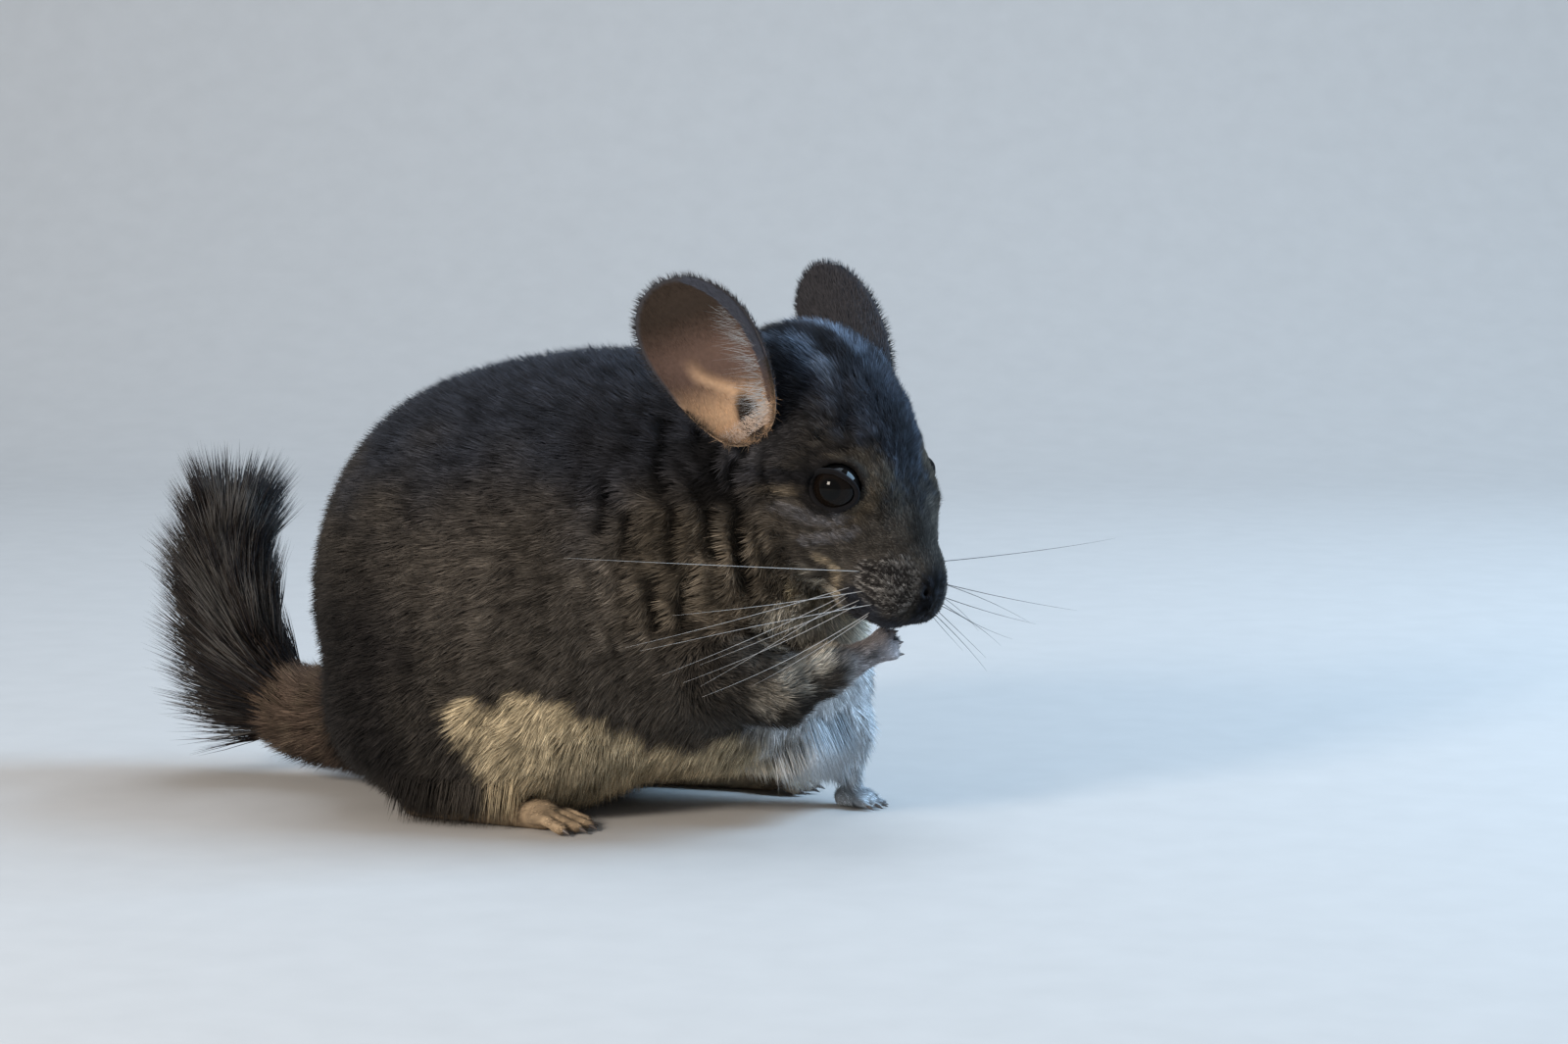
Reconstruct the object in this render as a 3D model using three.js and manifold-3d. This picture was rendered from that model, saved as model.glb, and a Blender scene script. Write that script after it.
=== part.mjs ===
// A chinchilla sitting on its haunches, with its head turned and one forepaw raised to its mouth.
// Millimetres. +X is forward along the body, +Y its left side and +Z up, with the floor at z = 0.
import * as THREE from 'three';
import { mergeVertices } from 'three/addons/utils/BufferGeometryUtils.js';
import Module from 'manifold-3d';

const wasm = await Module();
wasm.setup();

const v = (x, y, z) => new THREE.Vector3(x, y, z);

// Gaps and limits
const JOINT_GAP = 0.3;
const CUTTER = 500;

// Body: masses whose blend is the coat's outer surface, given for the left half
const RUMP = { at: v(-25.5, 0, 62), size: v(58.5, 56, 65.5) };
const BACK = { at: v(8, 0, 71), size: v(63, 51, 64) };
const CHEST = { at: v(46, 1, 57), size: v(39, 41, 44) };
const HAUNCH = { at: v(-22, 24, 30), size: v(48, 32, 31) };
const NECK = { from: v(38, -1, 90), to: v(64, -2, 109), thick: 42, thin: 33 };
const BODY_BLENDS = { back: 14, chest: 16, haunch: 14, neck: 14 };
const TRUNK_BLEND = 7;

// Head: turned to the right and pitched down, measured in its own axes (forward, left, up)
const HEAD_AT = v(76, -3, 111);
const HEAD_YAW = THREE.MathUtils.degToRad(-17);
const HEAD_PITCH = THREE.MathUtils.degToRad(46);
const SKULL = { at: v(-8, 0, -1), size: v(28.5, 25, 26.5) };
const MUZZLE = { from: v(13, 0, -2), to: v(42, 0, -8.5), thick: 22.5, thin: 13.5 };
const CHEEK = { at: v(13, 12, -11), size: v(26, 16.5, 20) };
const LIP_PAD = { at: v(44.5, 6.5, -13), size: v(13.5, 10.5, 10) };
const NOSE = { at: v(49.5, 0, -8.5), size: v(8.5, 7, 9.5) };
const JAW = { from: v(10, 0, -17), to: v(39, 0, -20.5), thick: 16, thin: 8.5 };
const EAR_MOUND = { at: v(-9, 25, -2), size: v(10, 6.5, 9) };
const HEAD_BLENDS = { muzzle: 12, cheek: 10, lip: 6, nose: 6, jaw: 8, ear: 5 };
const EYE_AT = v(20.2, 19.3, 3);
const EYE_RADIUS = 6.8;
const LID_RADIUS = 6.9;
const LID_THICK = 1.1;
const LID_RAISED = 2.2;
const EYE_LOOK = v(0.22, 0.95, 0.22);

// Seams between the head, the muzzle, the neck and the torso
const NECK_SEAM = { at: v(38, -1, 88), normal: v(0.8, -0.05, 0.6) };
const HEAD_SEAM = { at: v(55, 3.4, 111), normal: v(0.85, -0.26, 0.46) };
const MUZZLE_SEAM_AT = 35;

// Ears: cupped discs, from the base to the tip in the head's axes, each as if on the left
const EAR_SUNK = 8;
const EAR_HALF_WIDTH = 18;
const EAR_WALL = 1.8;
const EAR_CURL = 10;
const EAR_OPENING = 15;
const EAR_SHAPE = { base: 0.8, middle: 0.35, tip: -0.15 };
const LEFT_EAR = { base: v(-11, 25, -2), tip: v(-52, 30, 12), facing: v(-0.32, 0.25, 0.93) };
const RIGHT_EAR = { base: v(-9.5, 32, 0), tip: v(-50, 45, 10), facing: v(-0.32, -0.16, 0.93) };

// Legs: the middle line of each and its thickness at the same points
const RIGHT_ARM = { line: [v(38, -22, 60), v(56, -33, 45), v(72, -33, 40), v(84, -27, 46), v(97, -14, 54)],
  radii: [11, 14.5, 10.5, 8, 4.5] };
const LEFT_ARM = { line: [v(48, 18, 56), v(63, 24, 39), v(71, 22, 23), v(76, 19.5, 0)],
  radii: [10, 15, 9, 4] };
const RIGHT_WRIST = { at: v(90.5, -20.5, 50), normal: v(0.62, 0.66, 0.42) };
const RIGHT_HEEL_OF_HAND = v(89, -22, 49);
const RIGHT_KNUCKLES = v(95.5, -15.5, 53);
const LEFT_WRIST = { at: v(74, 20, 4.6), normal: v(0, 0, -1) };
const LEFT_HEEL_OF_HAND = v(72.5, 20, 2.65);
const LEFT_KNUCKLES = v(78, 19.4, 2.65);
const THIGH = { at: v(-18, 46, 33), size: v(36, 24, 35) };
const SOLE_AT = 3.8;
const RIGHT_HEEL = v(-38, -37, SOLE_AT);
const RIGHT_TOES = v(4, -42, SOLE_AT);
const LEFT_HEEL = v(4, 34, SOLE_AT);
const LEFT_TOES = v(44, 36, SOLE_AT);

// Tail: its middle line, and the brush of long hair on its upper length
const TAIL_LINE = [v(-66, 0, 22), v(-92, 4, 20), v(-108, 5, 27), v(-117, 6, 42), v(-121, 6, 58),
  v(-120, 6, 76)];
const TAIL_RADII = [16, 13.5, 12, 10, 7.5, 4];
const TAIL_SEAM_SHARE = 0.38;

// Mouth, nostrils and whiskers, in the head's axes
const NOSTRIL_AT = v(57.3, 3, -7);
const LIP_SPLIT = 0.9;
const LIP_SPLIT_AT = v(59.5, 0, -17);
const MOUTH_AT = v(53, 0, -19.5);
const MOUTH_DEEP = 30;
const MOUTH_WIDE = 50;
const MOUTH_GAP = 0.9;
const MOUTH_BOW = 1.5;
const PAD_AT = v(46, 21, -12);
const PAD_RADIUS = 9;
const WHISKER_AT = v(46, 14, -12);
const WHISKER_ROWS = { apart: 4, down: 1.5 };
const WHISKER_DROOP = v(-0.09, 0, -0.05);
const WHISKER_ROOT = 0.35;
const WHISKER_LONG = 92;
const WHISKER_SHORT = 52;
const WHISKERS_A_SIDE = 7;
// The ways of the highest and the lowest whisker, as if on the left: the right ones are swept back
const WHISKER_FAN = {
  left: { highest: v(0.1, 1, 0.08), lowest: v(0.28, 1, -0.45) },
  right: { highest: v(-0.42, 1, -0.28), lowest: v(0.1, 1, -0.75) },
};

const COAT = { color: 0x4a4a50, roughness: 0.95, metalness: 0 };
const UNDERSIDE = { color: 0xcfc6b8, roughness: 0.95, metalness: 0 };
const EAR_SKIN = { color: 0x9a7a70, roughness: 0.8, metalness: 0 };
const PAW_SKIN = { color: 0xb99a80, roughness: 0.85, metalness: 0 };
const EYE_GLOSS = { color: 0x080707, roughness: 0.08, metalness: 0 };
const TAIL_HAIR = { color: 0x3a3836, roughness: 0.95, metalness: 0 };

// Head axes and the ways to and from them
const FORWARD = v(Math.cos(HEAD_PITCH) * Math.cos(HEAD_YAW), Math.cos(HEAD_PITCH) * Math.sin(HEAD_YAW),
  -Math.sin(HEAD_PITCH));
const LEFTWARD = v(-Math.sin(HEAD_YAW), Math.cos(HEAD_YAW), 0);
const UPWARD = FORWARD.clone().cross(LEFTWARD);
const headFrame = new THREE.Matrix4().makeBasis(FORWARD, LEFTWARD, UPWARD).setPosition(HEAD_AT);
const headInverse = headFrame.clone().invert();
const fromHead = (point) => point.clone().applyMatrix4(headFrame);
const turnedAsHead = (way) => way.clone().transformDirection(headFrame);
const mirrored = (point, side) => v(point.x, point.y * side, point.z);

// Distances to the simple masses, negative inside
function ellipsoid(point, { at, size }) {
  const scaled = point.clone().sub(at).divide(size);
  const near = scaled.length();
  return near * (near - 1) / (scaled.divide(size).length() + 1e-9);
}

function roundCone(point, { from, to, thick, thin }) {
  const axis = to.clone().sub(from);
  const reach = point.clone().sub(from);
  const share = THREE.MathUtils.clamp(reach.dot(axis) / axis.lengthSq(), 0, 1);
  return reach.addScaledVector(axis, -share).length() - THREE.MathUtils.lerp(thick, thin, share);
}

function blend(a, b, width) {
  const share = Math.max(width - Math.abs(a - b), 0) / width;
  return Math.min(a, b) - share * share * width * 0.25;
}

function headField(point) {
  const local = point.clone().applyMatrix4(headInverse);
  local.y = Math.abs(local.y);
  let field = blend(ellipsoid(local, SKULL), roundCone(local, MUZZLE), HEAD_BLENDS.muzzle);
  field = blend(field, ellipsoid(local, CHEEK), HEAD_BLENDS.cheek);
  field = blend(field, ellipsoid(local, LIP_PAD), HEAD_BLENDS.lip);
  field = blend(field, ellipsoid(local, NOSE), HEAD_BLENDS.nose);
  field = blend(field, ellipsoid(local, EAR_MOUND), HEAD_BLENDS.ear);
  return blend(field, roundCone(local, JAW), HEAD_BLENDS.jaw);
}

function bodyField(point) {
  const half = v(point.x, Math.abs(point.y), point.z);
  let field = blend(ellipsoid(half, RUMP), ellipsoid(half, BACK), BODY_BLENDS.back);
  field = blend(field, ellipsoid(half, CHEST), BODY_BLENDS.chest);
  field = blend(field, ellipsoid(half, HAUNCH), BODY_BLENDS.haunch);
  return blend(field, roundCone(point, NECK), BODY_BLENDS.neck);
}

const trunkField = (point) => blend(bodyField(point), headField(point), TRUNK_BLEND);

// Solids and meshes, one into the other
function solidOf(geometry) {
  geometry.deleteAttribute('normal');
  geometry.deleteAttribute('uv');
  const merged = mergeVertices(geometry, 1e-4);
  const vertProperties = new Float32Array(merged.attributes.position.array);
  const triVerts = new Uint32Array(merged.index.array);
  const solid = new wasm.Manifold(new wasm.Mesh({ numProp: 3, vertProperties, triVerts }));
  if (solid.volume() > 0) return solid;
  return new wasm.Manifold(new wasm.Mesh({ numProp: 3, vertProperties, triVerts: triVerts.reverse() }));
}

function geometryOf(solid) {
  const mesh = solid.getMesh();
  const geometry = new THREE.BufferGeometry();
  geometry.setAttribute('position', new THREE.BufferAttribute(new Float32Array(mesh.vertProperties), 3));
  geometry.setIndex(new THREE.BufferAttribute(new Uint32Array(mesh.triVerts), 1));
  return geometry;
}

function largest(solid) {
  const bodies = solid.decompose();
  return bodies.reduce((kept, body) => (body.volume() > kept.volume() ? body : kept));
}

function union(solids) {
  return solids.reduce((whole, solid) => whole.add(solid));
}

// A block that fills one side of a plane
function halfSpace(at, normal) {
  const block = new THREE.BoxGeometry(CUTTER, CUTTER, CUTTER).translate(0, 0, CUTTER / 2);
  const turn = new THREE.Quaternion().setFromUnitVectors(v(0, 0, 1), normal.clone().normalize());
  return solidOf(block.applyQuaternion(turn).translate(at.x, at.y, at.z));
}

const moved = ({ at, normal }, gap) => at.clone().addScaledVector(normal.clone().normalize(), gap);
const ahead = (seam, gap = 0) => halfSpace(moved(seam, gap), seam.normal);
const behind = (seam, gap = 0) => halfSpace(moved(seam, gap), seam.normal.clone().negate());
const BELOW_FLOOR = halfSpace(v(0, 0, 0), v(0, 0, -1));

// A ball whose points are pushed out from the centre, in damped steps, to where the field reaches the level
const MOST_STEPS = 160;
const STEP_SHARE = 0.6;
const CLOSE_ENOUGH = 1e-4;

function blob(centre, detail, field, level = 0) {
  const geometry = new THREE.IcosahedronGeometry(1, detail);
  const place = geometry.attributes.position;
  for (let i = 0; i < place.count; i += 1) {
    const way = v(0, 0, 0).fromBufferAttribute(place, i).normalize();
    const point = centre.clone();
    for (let step = 0; step < MOST_STEPS; step += 1) {
      const depth = level - field(point);
      if (Math.abs(depth) < CLOSE_ENOUGH) break;
      point.addScaledVector(way, depth * STEP_SHARE);
    }
    place.setXYZ(i, point.x, point.y, point.z);
  }
  return solidOf(geometry);
}

function ball(centre, size, detail) {
  const geometry = new THREE.IcosahedronGeometry(1, detail).scale(size.x, size.y, size.z);
  return solidOf(geometry.translate(centre.x, centre.y, centre.z));
}

// A limb or lock: the rings of a sphere set along a curve, as thick as the radii say at its points
function limb(line, radii, { sides = 12, rings = 12, flat = 1, face = v(0, 0, 1), blunt = 3 } = {}) {
  const path = new THREE.CatmullRomCurve3(line, false, 'centripetal');
  const geometry = new THREE.SphereGeometry(1, sides, rings);
  const place = geometry.attributes.position;
  for (let i = 0; i < place.count; i += 1) {
    const unit = v(0, 0, 0).fromBufferAttribute(place, i);
    const along = Math.acos(THREE.MathUtils.clamp(unit.y, -1, 1)) / Math.PI;
    const turn = Math.atan2(unit.z, unit.x);
    const way = path.getTangent(along);
    const across = face.clone().cross(way).normalize();
    const out = way.clone().cross(across);
    const slot = Math.min(along * (radii.length - 1), radii.length - 1.001);
    const first = Math.floor(slot);
    const radius = THREE.MathUtils.lerp(radii[first], radii[first + 1], slot - first);
    const ring = radius * Math.min(1, Math.sin(Math.PI * along) * blunt);
    const point = path.getPoint(along);
    point.addScaledVector(across, Math.cos(turn) * ring);
    point.addScaledVector(out, Math.sin(turn) * ring * flat);
    place.setXYZ(i, point.x, point.y, point.z);
  }
  return solidOf(geometry);
}

// Seeded random numbers between 0 and 1
function randomFrom(seed) {
  let state = seed;
  return () => {
    state = (state * 1664525 + 1013904223) % 4294967296;
    return state / 4294967296;
  };
}

// Trunk: one form, parted into torso, neck, head and muzzle, each blown up from its own centre
const TORSO_DETAIL = 8;
const HEAD_DETAIL = 9;
const MUZZLE_DETAIL = 6;
const TORSO_CENTRE = v(-12, 0, 62);
const NECK_CENTRE = v(58, -3, 86);
const SKULL_CENTRE = fromHead(v(8, 0, -3));
const MUZZLE_CENTRE = fromHead(v(42, 0, -12));
const MUZZLE_SEAM = { at: fromHead(v(MUZZLE_SEAM_AT, 0, 0)), normal: FORWARD };

const trunkShape = blob(TORSO_CENTRE, TORSO_DETAIL, bodyField);
const trunkGrown = blob(TORSO_CENTRE, TORSO_DETAIL, bodyField, JOINT_GAP);
const neckShape = blob(NECK_CENTRE, HEAD_DETAIL, trunkField);
const headShape = blob(SKULL_CENTRE, HEAD_DETAIL, trunkField);
const headGrown = blob(SKULL_CENTRE, HEAD_DETAIL, trunkField, JOINT_GAP);
const muzzleShape = blob(MUZZLE_CENTRE, MUZZLE_DETAIL, headField);
const fleshGrown = union([trunkGrown, headGrown, blob(NECK_CENTRE, HEAD_DETAIL, trunkField, JOINT_GAP),
  blob(MUZZLE_CENTRE, MUZZLE_DETAIL + 1, headField, JOINT_GAP)]);

const THIGH_DETAIL = 4;

function thigh(side, grow) {
  return ball(mirrored(THIGH.at, side), THIGH.size.clone().addScalar(grow), THIGH_DETAIL);
}

function makeTorso() {
  let solid = trunkShape.subtract(ahead(NECK_SEAM)).subtract(BELOW_FLOOR);
  solid = solid.subtract(thigh(1, JOINT_GAP)).subtract(thigh(-1, JOINT_GAP));
  return largest(solid);
}

function makeNeck() {
  const solid = neckShape.subtract(behind(NECK_SEAM, JOINT_GAP)).subtract(ahead(HEAD_SEAM));
  return largest(solid);
}

// Lid: a ring round the eye, sunk in the face
function lidRing(side) {
  const ring = new THREE.TorusGeometry(LID_RADIUS, LID_THICK, 7, 22);
  const look = turnedAsHead(mirrored(EYE_LOOK, side));
  ring.applyQuaternion(new THREE.Quaternion().setFromUnitVectors(v(0, 0, 1), look));
  const at = fromHead(mirrored(EYE_AT, side)).addScaledVector(look, LID_RAISED);
  return solidOf(ring.translate(at.x, at.y, at.z));
}

function eyeBall(side, grow) {
  const radius = EYE_RADIUS + grow;
  return ball(fromHead(mirrored(EYE_AT, side)), v(radius, radius, radius), 2);
}

function makeHead() {
  let solid = headShape.subtract(behind(HEAD_SEAM, JOINT_GAP)).subtract(ahead(MUZZLE_SEAM));
  for (const side of [1, -1]) {
    solid = solid.add(lidRing(side)).subtract(eyeBall(side, JOINT_GAP));
  }
  return largest(solid);
}

// Nostrils, the split of the upper lip and the line of the mouth, as cutters in the head's axes
function muzzleCuts() {
  const cuts = [];
  for (const side of [1, -1]) {
    const nostril = new THREE.SphereGeometry(1, 9, 6).scale(1.6, 1.1, 2.6).rotateX(0.5 * side);
    cuts.push(nostril.translate(NOSTRIL_AT.x, NOSTRIL_AT.y * side, NOSTRIL_AT.z));
  }
  const split = new THREE.BoxGeometry(6, LIP_SPLIT, 12);
  cuts.push(split.translate(LIP_SPLIT_AT.x, 0, LIP_SPLIT_AT.z));
  const mouth = new THREE.BoxGeometry(MOUTH_DEEP, MOUTH_WIDE, MOUTH_GAP, 6, 8, 1);
  const place = mouth.attributes.position;
  for (let i = 0; i < place.count; i += 1) {
    const wide = place.getY(i) / MOUTH_WIDE * 2;
    place.setZ(i, place.getZ(i) - MOUTH_BOW * (1 - wide * wide));
  }
  cuts.push(mouth.translate(MOUTH_AT.x, 0, MOUTH_AT.z));
  return cuts.map((cut) => solidOf(cut.applyMatrix4(headFrame)));
}

// Whiskers: tapered rods that sweep back and down from two rows on a pad
function whiskers(side) {
  const random = randomFrom(7 + side);
  const { highest, lowest } = side > 0 ? WHISKER_FAN.left : WHISKER_FAN.right;
  const rods = [];
  for (let rod = 0; rod < WHISKERS_A_SIDE; rod += 1) {
    const share = rod / (WHISKERS_A_SIDE - 1);
    const length = THREE.MathUtils.lerp(WHISKER_LONG, WHISKER_SHORT, share) * (0.9 + 0.2 * random());
    const root = WHISKER_AT.clone().add(v(WHISKER_ROWS.apart * (rod % 2 - 0.5), 0,
      WHISKER_ROWS.apart - WHISKER_ROWS.down * rod));
    const way = highest.clone().lerp(lowest, share).normalize();
    const middle = root.clone().addScaledVector(way, length * 0.5);
    const tip = root.clone().addScaledVector(way, length).addScaledVector(WHISKER_DROOP, length);
    const line = [root, middle, tip].map((point) => fromHead(mirrored(point, side)));
    rods.push(limb(line, [WHISKER_ROOT, WHISKER_ROOT * 0.9, WHISKER_ROOT * 0.5], { sides: 3, rings: 6 }));
  }
  return rods;
}

// Whisker pad: the outer side of the lip, parted from the muzzle by a ball round it
function padBall(side, grow) {
  const radius = PAD_RADIUS + grow;
  return ball(fromHead(mirrored(PAD_AT, side)), v(radius, radius, radius), 2);
}

function makeMuzzle() {
  const pads = [...muzzleCuts(), padBall(1, JOINT_GAP), padBall(-1, JOINT_GAP)];
  const solid = muzzleShape.subtract(union(pads));
  return largest(solid.subtract(behind(MUZZLE_SEAM, JOINT_GAP)).subtract(behind(HEAD_SEAM, JOINT_GAP)));
}

function makeWhiskerPad(side) {
  const solid = muzzleShape.intersect(padBall(side, 0)).subtract(union(muzzleCuts()));
  return largest(union([solid.subtract(behind(MUZZLE_SEAM, JOINT_GAP)), ...whiskers(side)]));
}

// Ear: a disc bent into a cup, thin at its rim, with its root sunk in the head
function earShape(side) {
  const { base, tip, facing } = side > 0 ? LEFT_EAR : RIGHT_EAR;
  const axis = tip.clone().sub(base);
  const length = axis.length();
  axis.normalize();
  const across = facing.clone().addScaledVector(axis, -facing.dot(axis)).normalize();
  const outward = across.clone().cross(axis);
  if (outward.y < 0) outward.negate();
  const geometry = new THREE.SphereGeometry(1, 20, 12);
  const place = geometry.attributes.position;
  for (let i = 0; i < place.count; i += 1) {
    const unit = v(0, 0, 0).fromBufferAttribute(place, i);
    const polar = Math.acos(THREE.MathUtils.clamp(unit.y, -1, 1)) / (Math.PI / 2);
    const reach = Math.min(polar, 2 - polar);
    const turn = Math.atan2(unit.z, unit.x);
    const upShare = (1 + reach * Math.sin(turn)) / 2;
    const wide = EAR_SHAPE.base + EAR_SHAPE.middle * upShare + EAR_SHAPE.tip * upShare * upShare;
    const half = EAR_HALF_WIDTH * wide;
    const bend = EAR_CURL + EAR_OPENING * upShare;
    const arc = reach * Math.cos(turn) * half;
    const wall = EAR_WALL * 0.5 * Math.sqrt(Math.max(1 - reach * reach, 0)) * (polar < 1 ? 1 : -1);
    const point = base.clone().addScaledVector(axis, upShare * (length + EAR_SUNK) - EAR_SUNK);
    point.addScaledVector(across, (bend - wall) * Math.sin(arc / bend));
    point.addScaledVector(outward, bend - (bend - wall) * Math.cos(arc / bend));
    const world = fromHead(mirrored(point, side));
    place.setXYZ(i, world.x, world.y, world.z);
  }
  return solidOf(geometry);
}

function makeEar(side) {
  return largest(earShape(side).subtract(fleshGrown));
}

// Foreleg: the upper arm lies under the coat, so only what stands out of the trunk is left
function makeForeleg({ line, radii }, wrist) {
  const arm = limb(line, radii, { sides: 10, rings: 10, blunt: 4 });
  return largest(arm.subtract(ahead(wrist)).subtract(fleshGrown).subtract(BELOW_FLOOR));
}

function makeForepaw(paw, wrist) {
  return largest(paw.subtract(behind(wrist, JOINT_GAP)).subtract(fleshGrown).subtract(BELOW_FLOOR));
}

// Paw or foot: a sole with toes fanned out from its front, each with a small claw
function makeFoot({ heel, knuckles, up, width, height, toes, toeLength, toeThick, spread, claw }) {
  const way = knuckles.clone().sub(heel).normalize();
  const across = up.clone().cross(way).normalize();
  const middle = heel.clone().lerp(knuckles, 0.5);
  const pieces = [limb([heel, middle, knuckles.clone().addScaledVector(way, 2)],
    [width * 0.45, width * 0.46, width * 0.5], { sides: 9, rings: 7, flat: height / width, face: up })];
  for (let toe = 0; toe < toes; toe += 1) {
    const place = toe - (toes - 1) / 2;
    const turn = way.clone().addScaledVector(across, place * 0.13).normalize();
    const root = knuckles.clone().addScaledVector(across, place * spread).addScaledVector(way, -1.5);
    const tip = root.clone().addScaledVector(turn, toeLength * (1 - 0.09 * place * place));
    tip.addScaledVector(up, toeThick * 0.42 - height * 0.46);
    const knee = root.clone().lerp(tip, 0.5).addScaledVector(up, toeThick * 0.3);
    const thick = toeThick / 2;
    pieces.push(limb([root, knee, tip], [thick, thick * 0.9, thick], { sides: 6, rings: 5 }));
    const end = tip.clone().addScaledVector(turn, claw).addScaledVector(up, -claw * 0.2);
    pieces.push(limb([tip.clone().addScaledVector(turn, -1.2), tip.clone().lerp(end, 0.5), end],
      [thick * 0.45, thick * 0.4, thick * 0.2], { sides: 4, rings: 3 }));
  }
  return union(pieces);
}

const HIND = { up: v(0, 0, 1), width: 12, height: 8.5, toes: 4, toeLength: 14, toeThick: 4.4, spread: 3.4,
  claw: 2.4 };
const FORE = { up: v(0, 0, 1), width: 9, height: 6, toes: 4, toeLength: 7, toeThick: 3, spread: 2.3,
  claw: 1.5 };
const RAISED_UP = v(0.55, -0.75, 0.1);

function makeHindFoot(heel, knuckles, leg) {
  const foot = makeFoot({ ...HIND, heel, knuckles });
  return largest(foot.subtract(trunkGrown).subtract(leg).subtract(BELOW_FLOOR));
}

// Tail: the root is thick short fur, the rest a core under long locks
const tailPath = new THREE.CatmullRomCurve3(TAIL_LINE, false, 'centripetal');
const TAIL_SEAM = { at: tailPath.getPoint(TAIL_SEAM_SHARE), normal: tailPath.getTangent(TAIL_SEAM_SHARE) };
const tailCore = limb(TAIL_LINE, TAIL_RADII, { sides: 14, rings: 22, face: v(0, 1, 0) });

const TAIL_LOCKS = { rows: 8, around: 6, first: 0.4, last: 0.97, sunk: 0.45, length: 27, lean: 0.42 };

function tailLocks() {
  const random = randomFrom(41);
  const locks = [];
  for (let row = 0; row < TAIL_LOCKS.rows; row += 1) {
    const share = THREE.MathUtils.lerp(TAIL_LOCKS.first, TAIL_LOCKS.last, row / (TAIL_LOCKS.rows - 1));
    const slot = share * (TAIL_RADII.length - 1);
    const radius = TAIL_RADII[Math.floor(slot)];
    const way = tailPath.getTangent(share);
    const side = v(0, 1, 0).cross(way).normalize();
    const other = way.clone().cross(side);
    for (let turn = 0; turn < TAIL_LOCKS.around; turn += 1) {
      const angle = (turn + (row % 2) / 2 + 0.3 * random()) / TAIL_LOCKS.around * 2 * Math.PI;
      const out = side.clone().multiplyScalar(Math.cos(angle)).addScaledVector(other, Math.sin(angle));
      const length = TAIL_LOCKS.length * (0.8 + 0.4 * random()) * (1 - 0.15 * share);
      const lean = TAIL_LOCKS.lean * (0.8 + 0.5 * random());
      const root = tailPath.getPoint(share).addScaledVector(out, radius * TAIL_LOCKS.sunk);
      const bend = root.clone().addScaledVector(way, length * 0.5).addScaledVector(out, length * lean * 0.8);
      const tip = root.clone().addScaledVector(way, length).addScaledVector(out, length * lean);
      locks.push(limb([root, bend, tip], [2.6, 3.2, 0.35], { sides: 4, rings: 5, flat: 0.45, face: out }));
    }
  }
  return locks;
}

const legs = {};
const parts = [];
function addPart(name, solid, look) {
  parts.push({ name, solid, look });
}

addPart('torso', makeTorso(), COAT);
addPart('neck', makeNeck(), COAT);
addPart('head', makeHead(), COAT);
addPart('muzzle', makeMuzzle(), COAT);

for (const [word, side] of [['left', 1], ['right', -1]]) {
  legs[word] = largest(trunkShape.intersect(thigh(side, 0)).subtract(BELOW_FLOOR));
  addPart(`ear_${word}`, makeEar(side), EAR_SKIN);
  addPart(`eye_${word}`, eyeBall(side, 0), EYE_GLOSS);
  addPart(`whiskerpad_${word}`, makeWhiskerPad(side), COAT);
  addPart(`hindleg_${word}`, legs[word], COAT);
}
addPart('hindfoot_right', makeHindFoot(RIGHT_HEEL, RIGHT_TOES, legs.right), PAW_SKIN);
addPart('hindfoot_left', makeHindFoot(LEFT_HEEL, LEFT_TOES, legs.left), PAW_SKIN);
const pawRight = makeFoot({ ...FORE, up: RAISED_UP, heel: RIGHT_HEEL_OF_HAND, knuckles: RIGHT_KNUCKLES });
const pawLeft = makeFoot({ ...FORE, heel: LEFT_HEEL_OF_HAND, knuckles: LEFT_KNUCKLES });
addPart('foreleg_right', makeForeleg(RIGHT_ARM, RIGHT_WRIST), COAT);
addPart('foreleg_left', makeForeleg(LEFT_ARM, LEFT_WRIST), UNDERSIDE);
addPart('forepaw_right', makeForepaw(pawRight, RIGHT_WRIST), PAW_SKIN);
addPart('forepaw_left', makeForepaw(pawLeft, LEFT_WRIST), PAW_SKIN);
addPart('tail_base', largest(tailCore.subtract(ahead(TAIL_SEAM)).subtract(fleshGrown)), COAT);
const brush = union([tailCore, ...tailLocks()]).subtract(behind(TAIL_SEAM, JOINT_GAP)).subtract(fleshGrown);
addPart('tail_brush', largest(brush.subtract(BELOW_FLOOR)), TAIL_HAIR);

// The origin is on the floor, below the middle of the whole animal
const chinchilla = new THREE.Group();
for (const { name, solid, look } of parts) {
  const mesh = new THREE.Mesh(geometryOf(solid), new THREE.MeshStandardMaterial(look));
  mesh.name = name;
  chinchilla.add(mesh);
}
const whole = new THREE.Box3().setFromObject(chinchilla, true);
const middle = whole.getCenter(v(0, 0, 0));
for (const mesh of chinchilla.children) {
  mesh.geometry.translate(-middle.x, -middle.y, -whole.min.z);
}

export default chinchilla;
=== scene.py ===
import math
import bpy
import numpy as np
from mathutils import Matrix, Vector
from mathutils.kdtree import KDTree


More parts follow.
